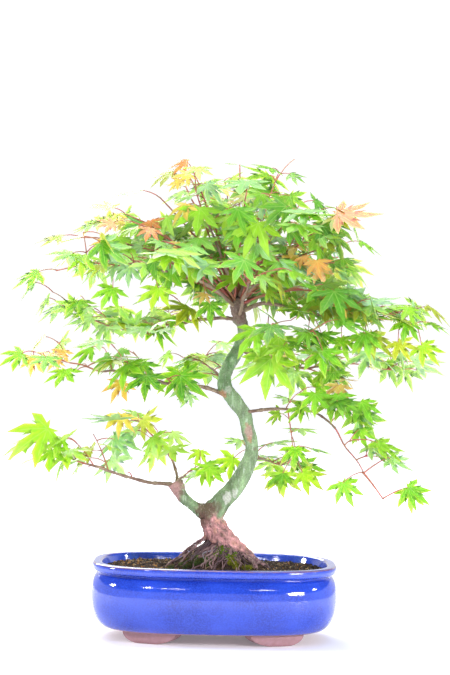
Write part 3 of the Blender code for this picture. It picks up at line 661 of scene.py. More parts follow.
def tuft(middle, radius, thick, seed):
    """A dome over the ground, as high as thick times the root of 1 - reach squared, and spikes that lean
    outwards. Also a shade for each point."""
    rng = np.random.default_rng(seed)

    def on_tuft(turn, reach):
        edge = radius * (1 + 0.22 * np.cos(3 * turn + seed) + 0.14 * np.cos(5 * turn + 2 * seed))
        x, y = middle[0] + edge * reach * np.cos(turn), middle[1] + edge * reach * np.sin(turn)
        lumpy = 1 + 0.35 * ripple(np.stack([x, y, 0 * x], -1) / MM, 3, 80)
        return np.stack([x, y, ground(x, y) + np.sqrt(np.clip(1 - reach**2, 0, 1)) * thick * lumpy], -1)

    round_turns = np.arange(DOME_AROUND) * 2 * math.pi / DOME_AROUND
    dome = on_tuft(*np.meshgrid(round_turns, np.linspace(1.0, 0.06, DOME_RINGS)))
    dome[0, :, 2] -= DOME_SUNK
    turn, reach = rng.uniform(0, 2 * math.pi, SPRIGS), np.sqrt(rng.random(SPRIGS)) * 0.98
    foot_of = on_tuft(turn, reach)
    lean = np.column_stack([np.cos(turn) * reach, np.sin(turn) * reach, np.ones(SPRIGS)])
    lean = unit(lean + rng.normal(0, 0.4, (SPRIGS, 3)))
    tall = rng.uniform(0.8, 2.2, (SPRIGS, 1)) * MM
    spikes = np.stack([foot_of - lean * 0.3 * MM, foot_of + lean * tall * 0.5, foot_of + lean * tall], 1)
    sprig_shade = np.repeat(rng.uniform(0.5, 1.5, SPRIGS), spikes.shape[1] * SPRIG_SIDES)
    shade = np.concatenate([np.full(DOME_RINGS * DOME_AROUND, 0.5), sprig_shade])
    return skin(dome), tubes(spikes, SPRIG_RADII, SPRIG_SIDES), shade


for index, (name, (bearing, share, radius, thick, tufts, hue)) in enumerate(MOSS.items()):
    rng = np.random.default_rng(60 + index)
    c, s = math.cos(math.radians(bearing)), math.sin(math.radians(bearing))
    middle = MOUND_MIDDLE + share * MOUND_HALF * (c, s)
    shapes, shades = [], []
    for k in range(tufts):
        turn = rng.uniform(0, 2 * math.pi)
        off = radius * MM * math.sqrt(rng.random())
        place = middle + off * np.array([math.cos(turn), 0.8 * math.sin(turn)])
        tuft_radius, tuft_thick = rng.uniform(2.0, 4.2) * MM, thick * rng.uniform(0.6, 1.1) * MM
        dome, spikes, shade = tuft(place, tuft_radius, tuft_thick, 10 * index + k)
        shapes += [dome, spikes]
        shades.append(shade * rng.uniform(0.6, 1.4))
    stands_for = [name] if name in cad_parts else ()
    add_piece(name + "_tufts", *together(*shapes), moss_finish, "moss", stands_for,
              tint=np.concatenate(shades)[:, None] * np.array(hue))
    print(name, tufts, "tufts")

# %% [markdown]
# ## Trunk and roots
# The trunk is the tree's character: a leaning, wrinkled base, a cut-back stub on the left, and a smooth
# green-grey stem in an S above it. The stem, the base, the stub and the main roots are tubes with many
# steps, joined by a voxel remesh, which also softens the crotches as growth does.

# %% Routes of the wood, in millimetres: x, y, z and radius
ROOT_BASE = [
    (45, 0, 66, 7.5), (38, 0, 77, 9.5), (26, 0, 87, 11.8), (12.5, -1, 97, 13.6), (3, -1, 109, 13.8),
    (-3, 0, 120, 12.6), (-7, 0, 130, 11.2), (-15, 0, 133, 8), (-24, 0, 138.5, 6.1), (-34, 0, 147, 6),
    (-40, 0, 156, 7.2), (-44, 0, 162, 7.4),
]
TRUNK = [
    (-3, 0, 128, 10.5), (6, 1, 143, 10.5), (17, 3, 155, 10), (28, 5, 171, 9), (35, 5, 188, 7.9),
    (37, 4, 203, 7), (33, 2, 219, 7.2), (28, 0, 236, 7.4), (18, -3, 250, 7.8), (8, -5, 262, 7.8),
    (6, -5, 275, 7), (11, -3, 289, 7), (19, 0, 302, 6.8), (24, 2, 315, 6), (25, 3, 327, 5.8),
    (21, 3, 339, 7), (18, 3, 351, 7.2), (18, 3, 361, 4.5),
]
SURFACE_ROOTS = {  # bearing in degrees: share of the mound that it crosses, and its radius in mm
    182: (0.92, 1.5), 206: (0.86, 1.1), 262: (0.80, 1.3), 326: (0.80, 2.2), 352: (0.82, 2.6), 30: (0.80, 2.0),
    70: (0.82, 1.6), 128: (0.84, 1.6), 156: (0.90, 1.2),
}
COLLARS = [  # the healed fork, and the swellings where branches leave the stem: start, end, radius
    ((-8, 0, 131), (1, 0, 143), 9.6), ((21, 3, 339), (14, 3, 334), 5.2), ((8, -5, 262), (0, -8, 262), 4.6),
    ((25, -1, 240), (33, -3, 239), 4.0),
]


def root_route(bearing, reach, radius, steps=26, seed=0):
    """From the trunk's base out over the mound and down into the soil, always resting on the ground."""
    c, s = math.cos(math.radians(bearing)), math.sin(math.radians(bearing))
    start = np.array([8 + 14 * c, 8 * s])
    end = MOUND_MIDDLE / MM + reach * MOUND_HALF / MM * (c, s)
    f = np.linspace(0, 1, steps)[:, None]
    wander = ripple(np.hstack([f * 60, 0 * f, 0 * f + seed * 17.0]), 28, 90 + seed)[:, None]
    xy = start * (1 - f) + end * f + np.array([-s, c]) * wander * 2.2 * np.minimum(f * 4, 1)
    level = ground(*(xy.T * MM)) / MM
    free = (105 - 5 * c) * (1 - f[:, 0]) + 71 * f[:, 0]
    z = np.maximum(free, level + radius * 0.6)
    z = np.where(f[:, 0] > 0.9, level + radius * 0.7 - (f[:, 0] - 0.9) * 10 * (radius + 4), z)
    return np.column_stack([xy, z])


base_line, stem_line = smooth_route(ROOT_BASE, 8), smooth_route(TRUNK, 8)
parts = [tubes(base_line[None, :, :3] * MM, base_line[None, :, 3] * MM, 36),
         tubes(stem_line[None, :, :3] * MM, stem_line[None, :, 3] * MM, 30)]
for index, (bearing, (reach, radius)) in enumerate(SURFACE_ROOTS.items()):
    route = root_route(bearing, reach, radius, seed=index)
    thickness = radius * np.linspace(1.25, 0.7, len(route))
    parts.append(tubes(route[None] * MM, thickness[None] * MM, 14))
for start, end, radius in COLLARS:
    line = np.linspace(start, end, 6)
    parts.append(tubes(line[None] * MM, radius * np.linspace(1.0, 0.7, 6)[None] * MM, 14))
print("tubes to join", len(parts))

# %% [markdown]
# The tubes cross each other, so they are made one skin with a voxel remesh, and smoothed a little. What comes
# next works on that skin's points, in millimetres from the pot's middle.

# %% Join the wood
VOXEL = 0.85 * MM
bark_finish, bark_tree, bark_shader = new_finish("maple_bark", Roughness=0.62, Specular_IOR_Level=0.4)
trunk = add_piece("trunk_wood", *together(*parts), bark_finish, "bark", ["trunk"])
join = trunk.modifiers.new("join", "REMESH")
join.mode, join.voxel_size, join.use_smooth_shade = "VOXEL", VOXEL, True
soften = trunk.modifiers.new("soften", "SMOOTH")
soften.factor, soften.iterations = 0.5, 6
points, normals = settle(trunk)
mm = points / MM
x, z = mm[:, 0], mm[:, 2]
print("trunk", len(trunk.data.polygons), "faces")

# %% [markdown]
# Four kinds of bark share the skin, each with a share from 0 to 1 at every point: old bark on the base, the
# stub's, the crown's, and the roots'. Scars and scrapes are soft spots with their own colour, and they rise
# or sink a little.


# %% Where each kind of bark lies
def spot(middle, radius, soft=0.35):
    """1 inside a ball, falling to 0 across its soft edge, with an uneven outline."""
    away = np.linalg.norm((mm - middle) / radius, axis=1) + 0.16 * ripple(mm, 5, 101)
    return np.clip((1 - away) / soft + 0.5, 0, 1)


def laid_over(hue, share, shade):
    """The colour of each point, with a share of another colour over it."""
    return hue * (1 - share[:, None]) + np.asarray(shade) * share[:, None]


SCAR, PINK, RUST, SCRAPE = (0.13, 0.062, 0.045), (0.46, 0.26, 0.24), (0.40, 0.16, 0.07), (0.60, 0.60, 0.56)
MARKS = [  # x, y, z, radius in each direction, height in mm, colour, strength
    ((-10, -6, 134), (11, 12, 10), 0.9, SCAR, 0.85), ((-1, -9, 138), (7, 6, 6), 0.6, SCAR, 0.55),
    ((-12, -8, 124), (7, 7, 8), 0.6, SCAR, 0.7), ((-5, 8, 134), (12, 9, 9), 0.9, SCAR, 0.8),
    ((12, -9, 148), (5, 5, 7), -0.1, SCRAPE, 0.75), ((20, -8, 152), (3, 4, 6), -0.1, SCRAPE, 0.6),
    ((33, -5, 217), (4.5, 4, 8), -0.5, PINK, 0.8), ((34, -5, 209), (3, 3, 4), 0.3, RUST, 0.6),
    ((31, -4, 226), (3, 3, 3), 0.3, RUST, 0.5), ((4, -12, 257), (6, 5, 5), 0.9, RUST, 0.8),
    ((10, -11, 262), (5, 4, 4), 0.4, SCRAPE, 0.4), ((-42, 0, 159), (9, 10, 9), 0.9, PINK, 0.75),
    ((-36, -6, 152), (4, 3, 3), 0.8, SCAR, 0.6), ((-48, -3, 163), (3, 4, 4), 0.4, SCAR, 0.5),
    ((18, -2, 362), (5, 5, 3.5), 0.0, (0.02, 0.012, 0.01), 0.95),
    ((26, -6, 180), (2, 3, 3), 0.4, RUST, 0.4), ((40, -2, 200), (2, 3, 2), 0.5, SCAR, 0.5),
    ((20, -6, 338), (6, 4, 5), 0.9, SCAR, 0.4), ((12, -4, 292), (3, 4, 3), 0.4, SCRAPE, 0.4),
]
old = np.clip((132 - z) / 9 + 0.35 * ripple(mm, 12, 102) - (x < -15), 0, 1)
stub_bark = np.clip((-36 - x) / 4, 0, 1) * (z > 140)
crown_bark = np.clip((z - 322) / 14 + 0.3 * ripple(mm, 8, 103), 0, 1)
root_bark = np.clip((102 - z - 0.25 * x) / 6 + 0.3 * ripple(mm, 8, 104), 0, 1)
spots = [spot(middle, radius) for middle, radius, _, _, _ in MARKS]
print("marks", len(MARKS), "points of old bark", (old > 0.5).sum())

# %% [markdown]
# Every point is moved along its normal: knots and swellings first, wrinkles on the old bark, and fine relief
# last. A ripple whose points are squeezed along z makes lumps that are longer upwards, as bark stretches.

# %% Relief of the bark, in millimetres
height = 0.55 * ripple(mm, 22, 111) * (z > 100)
height += old * (0.55 * ripple(mm * (1, 1, 0.45), 6, 112) + 0.35 * ripple(mm * (1, 1, 0.6), 2.8, 113))
wrinkles = np.sin(z * 0.9 + x * 0.35 + 3.0 * ripple(mm, 16, 115)) ** 3
height += 0.28 * wrinkles * np.clip((z - 96) / 12, 0, 1) * (0.35 + old)
height += (1 - old) * 0.16 * ripple(mm * (1, 1, 0.35), 3.4, 114)
height += crown_bark * 0.3 * ripple(mm, 3.5, 116) + root_bark * 0.25 * ripple(mm, 3, 117)
for share, (_, _, rise, _, _) in zip(spots, MARKS):
    height += rise * share * (0.75 + 0.5 * ripple(mm, 3.2, 131))
trunk.data.vertices.foreach_set("co", (points + normals * height[:, None] * MM + POT_MIDDLE).ravel())
trunk.data.update()
print("height of relief", height.min().round(2), "to", height.max().round(2), "mm")

# %% [markdown]
# The bark's colour changes with its age and its place, so it is stored on the points. The base is pinkish
# brown, a dark scar rings the fork, the stem is green-grey with pale scrapes and a few pink and rusty scars
# where branches were cut, and the top turns brown again where the branches crowd together.

# %% Colour of the bark
green_bark = np.array((0.20, 0.31, 0.155)) * (1 + 0.28 * ripple(mm * (1, 1, 0.3), 9, 121)[:, None])
streak = np.clip(ripple(mm * (1, 1, 0.12), 2.6, 122) - 0.55, 0, 1)
hue = laid_over(green_bark, 0.6 * streak, (0.60, 0.72, 0.60))
upper_stem = np.clip((z - 246) / 18, 0, 1) * np.clip((330 - z) / 14, 0, 1)
deep_green = upper_stem * np.clip(0.55 + 0.5 * ripple(mm, 10, 123), 0, 1)
for share, shade in ((deep_green, (0.11, 0.24, 0.085)), (crown_bark, (0.22, 0.14, 0.12)), (stub_bark, PINK)):
    hue = laid_over(hue, share, shade)
pinkish = np.array((0.56, 0.265, 0.27)) * (1 + 0.34 * ripple(mm, 9, 124)[:, None])
ochre = np.clip(ripple(mm * (1, 1, 0.7), 9, 127) - 0.3, 0, 1)
cracks = np.clip(ripple(mm * (1, 1, 0.5), 4.2, 125) - 0.35, 0, 1)
pinkish = laid_over(laid_over(pinkish, 0.6 * ochre, (0.42, 0.23, 0.10)), 0.7 * cracks, (0.08, 0.04, 0.035))
earthy = np.array((0.19, 0.105, 0.125)) * (1 + 0.55 * ripple(mm, 4, 126)[:, None])
hue = laid_over(laid_over(hue, old, pinkish), 0.88 * root_bark, earthy)
for share, (_, _, _, shade, strength) in zip(spots, MARKS):
    hue = laid_over(hue, strength * share, shade)
write_field(trunk.data, "tint", hue.clip(0.004, 1))
rough = grain(bark_tree, 0.0016, 5.0)
pores = ramp(bark_tree, grain(bark_tree, 0.0011, 2.0, (1, 1, 0.5)), (0.60, 0), (0.72, 0.5))
fine_bark = mixed(bark_tree, ramp(bark_tree, rough, (0.30, 0.45), (0.62, 0)), field(bark_tree, "tint"),
                  (0.07, 0.048, 0.040))
tint(bark_tree, bark_shader, mixed(bark_tree, pores, fine_bark, (0.55, 0.50, 0.42)))
tint(bark_tree, bark_shader, ramp(bark_tree, rough, (0.3, 0.75), (0.7, 0.5)), "Roughness")
relief(bark_tree, bark_shader, rough, 0.0008, 0.8)
print("mean colour of the bark", hue.mean(axis=0).round(3))

# %% [markdown]
# Dozens of fine roots run out from under the trunk and over the mound. Some hang free of it, so light shows
# between them on the left. Each is a thin tube on its own wandering path, thick at the trunk.

# %% Fine roots
FINE_ROOTS, FINE_STEPS, FINE_SIDES = 210, 20, 8
TOP_LOW, TOP_HIGH = 88, 108  # heights in mm at which they leave the trunk
OPEN_SIDE, KEPT_THERE = (148, 214), 4  # the bearings where one root in four is kept, so that light shows
rng = np.random.default_rng(140)
fine_paths, fine_radii = [], []
for index in range(FINE_ROOTS):
    bearing = (index * 360 / FINE_ROOTS + rng.normal(0, 5)) % 360
    c, s = math.cos(math.radians(bearing)), math.sin(math.radians(bearing))
    reach, radius = rng.uniform(0.40, 0.95), rng.uniform(0.35, 1.15)
    top = rng.uniform(TOP_LOW, TOP_HIGH)
    lean = 22 - (top - TOP_LOW) * 1.05  # the base leans, so a higher root starts further left
    start = np.array([lean + (12 if c > 0 else 8) * c, 9 * s])
    end = np.array([4 + reach * 62 * c, reach * 54 * s])
    f = np.linspace(0, 1, FINE_STEPS)[:, None]
    wander = ripple(np.hstack([f * 50, 0 * f, 0 * f + index * 13.0]), 20, 150 + index)[:, None]
    xy = start * (1 - f) + end * f + np.array([-s, c]) * wander * rng.uniform(1.5, 4.5) * np.minimum(f * 3, 1)
    level = ground(*(xy.T * MM)) / MM
    free = top * (1 - f[:, 0]) ** 1.15 + 70 * (1 - (1 - f[:, 0]) ** 1.15)
    z = np.maximum(free, level + radius * 0.5 + 1.5)
    z = np.where(f[:, 0] > 0.9, level + radius - (f[:, 0] - 0.9) * 50, z)
    if OPEN_SIDE[0] < bearing < OPEN_SIDE[1] and index % KEPT_THERE:
        continue
    knobbly = 1 + 0.15 * ripple(f * 40 + (index, 0, 0), 9, 160)
    fine_paths.append(np.column_stack([xy, z]))
    fine_radii.append(radius * np.linspace(1.25, 0.6, FINE_STEPS) * knobbly)
root_finish, root_tree, root_shader = new_finish("root_bark", Roughness=0.75)
root_tone = mixed(root_tree, ramp(root_tree, grain(root_tree, 0.004, 3.0), (0.35, 0.35), (0.66, 0)),
                  field(root_tree, "tint"), (0.035, 0.020, 0.022))
tint(root_tree, root_shader, root_tone)
relief(root_tree, root_shader, grain(root_tree, 0.0014, 4.0), 0.0006, 0.9)
ROOT_TONES = np.array([(0.075, 0.040, 0.050), (0.15, 0.080, 0.095), (0.30, 0.18, 0.19), (0.24, 0.23, 0.28),
                       (0.38, 0.25, 0.22)])
TONE_ODDS = (0.38, 0.34, 0.14, 0.04, 0.10)
root_tint = ROOT_TONES[rng.choice(len(ROOT_TONES), len(fine_paths), p=TONE_ODDS)]
fine_roots = tubes(np.stack(fine_paths) * MM, np.stack(fine_radii) * MM, FINE_SIDES)
add_piece("fine_roots", *fine_roots, root_finish, "bark",
          tint=np.repeat(root_tint, FINE_STEPS * FINE_SIDES, axis=0))
print("fine roots", len(fine_paths))

# %% [markdown]
# ## Branches
# The branches were grown to fill gaps in the outline, and wire held them low while they set. Each route is
# the one that the frame's limb follows. The bark swells at every node, where leaves of past years stood. A tube
# along the route, with a radius that rises at the nodes, gives that.

# %% The branches' routes, in millimetres from the pot's middle
LIMBS = {  # base radius, then the route's points
    "low_left": (2.3, [(-47, 0, 160), (-58, -5, 161), (-72, -12, 162), (-94, -20, 168), (-115, -26, 176),
                       (-140, -30, 184), (-164, -30, 192), (-186, -28, 202)]),
    "low_up": (1.7, [(-43, 1, 159), (-42, 10, 172), (-50, 18, 188), (-66, 24, 207), (-90, 30, 230)]),
    "low_right": (1.8, [(-43, -1, 158), (-38, -9, 168), (-26, -16, 171), (-14, -22, 175), (-2, -28, 179)]),
    "mid_left": (2.4, [(7, -5, 257), (-19, -12, 265), (-46, -18, 267), (-73, -24, 272), (-105, -30, 278),
                       (-131, -34, 282), (-164, -38, 290), (-194, -40, 298)]),
    "left_reach": (2.3, [(22, 3, 336), (2, 22, 338), (-26, 34, 334), (-63, 46, 328), (-105, 56, 324),
                         (-140, 62, 334), (-176, 62, 350)]),
    "front_left": (2.3, [(19, 3, 346), (2, -14, 362), (-16, -34, 374), (-42, -54, 382), (-75, -70, 386),
                         (-112, -80, 390), (-150, -82, 392)]),
    "back_left": (2.3, [(18, 3, 352), (-2, 14, 374), (-22, 30, 396), (-50, 46, 416), (-86, 56, 432),
                        (-122, 58, 442)]),
    "crown_left": (2.2, [(18, 3, 354), (8, -8, 384), (-4, -20, 412), (-18, -32, 446), (-34, -40, 482)]),
    "crown_back": (2.2, [(18, 3, 354), (17, 16, 386), (14, 30, 416), (8, 42, 450), (2, 50, 488)]),
    "crown_right": (2.2, [(18, 3, 353), (28, -2, 384), (37, -6, 414), (46, -8, 452), (58, -8, 494)]),
    "right_high": (2.3, [(18, 3, 350), (36, -10, 372), (54, -24, 393), (78, -38, 414), (112, -46, 440)]),
    "right_reach": (2.6, [(19, 3, 344), (40, -4, 352), (58, -10, 354), (80, -16, 349), (106, -22, 343),
                          (133, -26, 341), (168, -30, 340), (204, -32, 336)]),
    "right_mid": (2.3, [(20, 1, 305), (38, 14, 298), (60, 28, 289), (90, 42, 287), (122, 52, 290),
                        (160, 58, 290), (198, 60, 284)]),
    "hanging": (2.0, [(27, -1, 238), (46, -8, 241), (68, -12, 243), (92, -18, 243), (110, -24, 238),
                      (124, -30, 222), (138, -36, 202), (152, -42, 180)]),
    "low_back": (2.0, [(34, 5, 186), (46, 24, 188), (58, 44, 184), (70, 62, 178)]),
    "back_low": (2.2, [(10, -5, 262), (6, 18, 272), (-4, 44, 280), (-14, 72, 286), (-22, 100, 288)]),
    "back_high": (2.2, [(20, 3, 341), (28, 24, 352), (34, 52, 366), (38, 84, 374), (40, 112, 374)]),
    "front_high": (2.2, [(20, 3, 338), (24, -18, 352), (28, -44, 368), (30, -72, 376), (30, -100, 374)]),
    "front_right": (2.1, [(25, 3, 318), (38, -16, 322), (52, -38, 322), (68, -62, 316), (82, -86, 304)]),
    "back_right": (2.2, [(19, 3, 346), (38, 22, 362), (62, 44, 378), (90, 64, 388), (118, 78, 388)]),
}
SIDE_SHOOTS = {  # the frame's side sprays: the limb, the share of its route, and the run in millimetres
    "low_left_inner": ("low_left", 0.48, (-18, 14, 38)), "mid_left_inner": ("mid_left", 0.41, (-26, -26, 18)),
    "left_reach_inner": ("left_reach", 0.41, (-22, -34, -12)),
    "front_left_inner": ("front_left", 0.46, (-6, -40, 10)),
    "back_left_inner": ("back_left", 0.44, (-20, 34, 16)),
    "right_reach_front": ("right_reach", 0.40, (26, -38, 10)),
    "right_reach_back": ("right_reach", 0.53, (28, 36, 18)),
    "right_mid_front": ("right_mid", 0.44, (30, -30, -14)), "hanging_inner": ("hanging", 0.30, (8, 14, -50)),
    "back_right_inner": ("back_right", 0.40, (10, 34, 20)),
}
WANDS = {  # thinner upright stems that fan out from the trunk's top: the branch they belong to, and the tips
    "crown_left": [(-66, -14, 462), (-40, 12, 478), (-30, -16, 490)],
    "crown_back": [(-22, 60, 470), (30, 66, 470), (18, 22, 500)],
    "crown_right": [(84, 14, 462), (98, -30, 448), (26, -50, 470)],
    "front_left": [(-92, -40, 436), (-58, -72, 414), (-128, -30, 414)],
    "back_left": [(-152, 20, 420), (-104, 6, 446), (-178, 34, 384)],
    "right_high": [(128, -8, 418), (118, -62, 396), (66, -66, 436)],
    "back_right": [(126, 34, 404), (84, 72, 430)],
    "right_reach": [(172, 6, 352), (138, -62, 352)],
}
WOOD_SHARE = 0.66  # of a route that is old wood; the rest is this year's red shoot
WOOD_TIP = 1.05  # radius in mm where the old wood ends


def uneven(route, seed, amount=1.0):
    """Adds a slow wander to a route, in its own units, that is nothing at its start."""
    share = np.linspace(0, 1, len(route))[:, None]
    wander = np.stack([ripple(route, 34, seed + axis, 6) for axis in range(3)], -1)
    return route + amount * wander * np.minimum(share * 3, 1)


branch_routes = {}
for index, (name, (_, route_points)) in enumerate(LIMBS.items()):
    branch_routes[name] = uneven(smooth_route(route_points, 8), 50 + 3 * index)
print("branches", len(branch_routes))


# %% [markdown]
# The young stems are thin and straight between nodes, and red where the sun reaches them. They start on
# old wood. Three kinds are made: the last third of each branch, the side shoots that the frame shows, and
# many short twigs that leave the wood in turn to one side and the other.


# %% Stems
def arc(start, end, lift, steps=9):
    """A stem from start to end whose middle is raised: a straight line plus lift times s (1 - s) 4."""
    s = np.linspace(0, 1, steps)[:, None]
    return start * (1 - s) + end * s + np.array([0, 0, lift]) * 4 * s * (1 - s)


TRUNK_TOP = (18, 3, 352)
TWIGS_APART = 17.0  # mm
TWIGGY_SHARE = 0.62  # of a branch's length
rng = np.random.default_rng(11)
stems = []  # the branch it belongs to, its route, its base radius, its pairs of leaves
for name, route in branch_routes.items():
    tip_part, _ = at_shares(route, np.linspace(WOOD_SHARE - 0.02, 1, 12))
    stems.append((name, tip_part, 1.0, 3))
print("stems at the branches' ends", len(stems))
for limb, share, run in SIDE_SHOOTS.values():
    start, _ = at_shares(branch_routes[limb], [share])
    stems.append((limb, arc(start[0], start[0] + np.array(run), 3.0), 0.9, 3))
for limb, tips in WANDS.items():
    for tip in tips:
        start = np.array(TRUNK_TOP) + rng.normal(0, 2, 3)
        end = np.array(tip, float)
        outwards = np.hypot(*(end - start)[:2])
        stems.append((limb, uneven(arc(start, end, 0.12 * outwards, 16), len(stems), 1.2), 1.35, 4))
for name, route in branch_routes.items():
    length = np.linalg.norm(np.diff(route, axis=0), axis=1).sum()
    count = int(length * TWIGGY_SHARE / TWIGS_APART)
    spots, heads = at_shares(route, np.linspace(0.30, 0.92, count) + rng.uniform(-0.02, 0.02, count))
    for k in range(count):
        side = (-1) ** k
        flat = math.atan2(heads[k][1], heads[k][0]) + side * rng.uniform(0.7, 1.3)
        reach = rng.uniform(14, 34)
        run = np.array([math.cos(flat) * reach, math.sin(flat) * reach, rng.uniform(-4, 30)])
        stems.append((name, arc(spots[k], spots[k] + run, 3.0), 0.75, 2 if rng.random() < 0.35 else 1))
print("stems", len(stems))

# %% [markdown]
# ## Leaves
# A Japanese maple's leaf is a hand with five to seven long fingers. Each finger is widest near its middle,
# folds along its vein, and runs out to a thread. One leaf is worked out flat, with few faces because it is
# repeated hundreds of times. Its top and its underside share their outline, so the thin blade is closed, and
# they are split into the same triangles.

# %% One flat leaf, its middle finger one unit long
FINGER_TURNS = np.radians([-86, -43, 0, 43, 86])
FINGER_LENGTHS = np.array([0.74, 0.93, 1.0, 0.93, 0.74])
NOTCH_RADII = (0.29, 0.36, 0.36, 0.29)
HEEL_TURN, HEEL_LENGTH = math.radians(130), 0.27
FOLD, THICK = 0.022, 0.009


def leaf_template():
    """Rim points shared by both sides, then vein points for the top, then the same for the underside."""
    rim, vein, faces, rim_marks, vein_marks = [], [], [], [], []

    def polar(turn, radius, out=0.0):
        c, s = math.cos(turn), math.sin(turn)
        return (radius * c - out * s, radius * s + out * c)

    def rim_point(point, along):
        rim.append(point)
        rim_marks.append(along)
        return len(rim) - 1

    stalk = rim_point((-0.04, 0.0), 0.0)
    notch = rim_point(polar(-math.radians(112), 0.17), 0.2)
    heel = rim_point(polar(-HEEL_TURN, HEEL_LENGTH), 1.0)
    vein.append((0.0, 0.0))
    vein_marks.append(0.0)
    faces.append([("v", 0), ("r", stalk), ("r", heel), ("r", notch)])
    for i, (turn, length) in enumerate(zip(FINGER_TURNS, FINGER_LENGTHS)):
        right = [rim_point(polar(turn, f * length, -w * length), f) for f, w in ((0.40, 0.135), (0.62, 0.172))]
        tip = rim_point(polar(turn, length), 1.0)
        left = [rim_point(polar(turn, f * length, w * length), f) for f, w in ((0.62, 0.172), (0.40, 0.135))]
        gap = rim_point(polar((turn + FINGER_TURNS[i + 1]) / 2, NOTCH_RADII[i]), 0.3) if i < 4 else \
            rim_point(polar(math.radians(112), 0.17), 0.2)
        first, second = len(vein), len(vein) + 1
        vein += [polar(turn, 0.38 * length), polar(turn, 0.68 * length)]
        vein_marks += [0.38, 0.68]
        r, v = (lambda k: ("r", k)), (lambda k: ("v", k))
        faces += [[v(0), r(notch), r(right[0]), v(first)], [v(0), v(first), r(left[0]), r(gap)],
                  [v(first), r(right[0]), r(right[1]), v(second)], [v(first), v(second), r(left[1]), r(left[0])],
                  [v(second), r(right[1]), r(tip)], [v(second), r(tip), r(left[1])]]
        notch = gap
    heel = rim_point(polar(HEEL_TURN, HEEL_LENGTH), 1.0)
    faces.append([("v", 0), ("r", notch), ("r", heel), ("r", stalk)])
    faces = [[face[0], *face[k : k + 2]] for face in faces for k in range(1, len(face) - 1)]
    rims, veins = len(rim), len(vein)
    flat = np.array(rim + vein + vein)
    height = np.concatenate([np.zeros(rims), np.full(veins, -FOLD), np.full(veins, -FOLD - THICK)])
    height[rims], height[rims + veins] = 0.0, -THICK
    place = {"r": 0, "v": rims}
    top = [[place[kind] + k for kind, k in face] for face in faces]
    under = [[place[kind] + (veins if kind == "v" else 0) + k for kind, k in face][::-1] for face in faces]
    marks = {"along": np.array(rim_marks + vein_marks * 2),
             "across": np.array([1.0] * rims + [0.0] * (2 * veins)),
             "under": np.array([0.5] * rims + [0.0] * veins + [1.0] * veins)}
    return np.column_stack([flat, height]), top + under, marks


LEAF_POINTS, LEAF_FACES, LEAF_MARKS = leaf_template()
print("leaf", len(LEAF_POINTS), "points", len(LEAF_FACES), "faces")


# %% [markdown]
# Leaves grow in opposite pairs, with one more at the end of the stem. Each stalk rises a little and the
# blade hangs from its end, with its face turned to the light. Everything about a leaf is one row of numbers:
# where its stalk starts, where its blade starts, which way it points, its size and its colour.


# %% Where the leaves grow
def turned(azimuth, slope):
    """Unit vectors that point to a bearing and down by a slope, both in radians."""
    return np.stack([np.cos(azimuth) * np.cos(slope), np.sin(azimuth) * np.cos(slope), -np.sin(slope)], -1)


def seats(route, pairs):
    """For each leaf of a stem: where its stalk starts and the bearing that it leaves on."""
    shares = np.concatenate([np.repeat(np.linspace(0.30 if pairs < 3 else 0.22, 0.80, pairs), 2), [0.99]])
    sides = np.array([-1, 1] * pairs + [0])
    points, heads = at_shares(route, shares)
    upright = np.abs(heads[:, 2]) > 0.72
    bearing = np.arctan2(heads[:, 1], heads[:, 0]) + sides * np.radians(66 - 16 * shares)
    return points, bearing + upright * (np.arange(len(shares)) // 2) * math.pi / 2


rows = {key: [] for key in ("limb", "start", "bearing")}
for limb, route, _, pairs in stems:
    points, bearing = seats(route, pairs)
    rows["limb"] += [limb] * len(points)
    rows["start"].append(points)
    rows["bearing"].append(bearing)
leaf_limb = np.array(rows["limb"])
leaf_start, leaf_bearing = np.vstack(rows["start"]), np.concatenate(rows["bearing"])
count = len(leaf_limb)
rng = np.random.default_rng(23)
leaf_bearing = leaf_bearing + rng.normal(0, 0.30, count)
leaf_size = np.clip(rng.normal(30, 6, count), 20, 42)
stalk_length = leaf_size * rng.uniform(0.45, 0.85, count)
leaf_heart = leaf_start + turned(leaf_bearing, -rng.uniform(-0.15, 0.5, count)) * stalk_length[:, None]
leaf_droop = np.radians(np.clip(rng.normal(26, 20, count), -12, 80))
leaf_forward = turned(leaf_bearing + rng.normal(0, 0.2, count), leaf_droop)
to_light = np.stack([0.25 * np.tanh(leaf_heart[:, 0] / 90),
                     np.where(leaf_heart[:, 1] < 25, -0.55, 0.5) * rng.uniform(0.3, 1, count),
                     np.ones(count)], -1) + rng.normal(0, 0.30, (count, 3))
print("leaves", count)
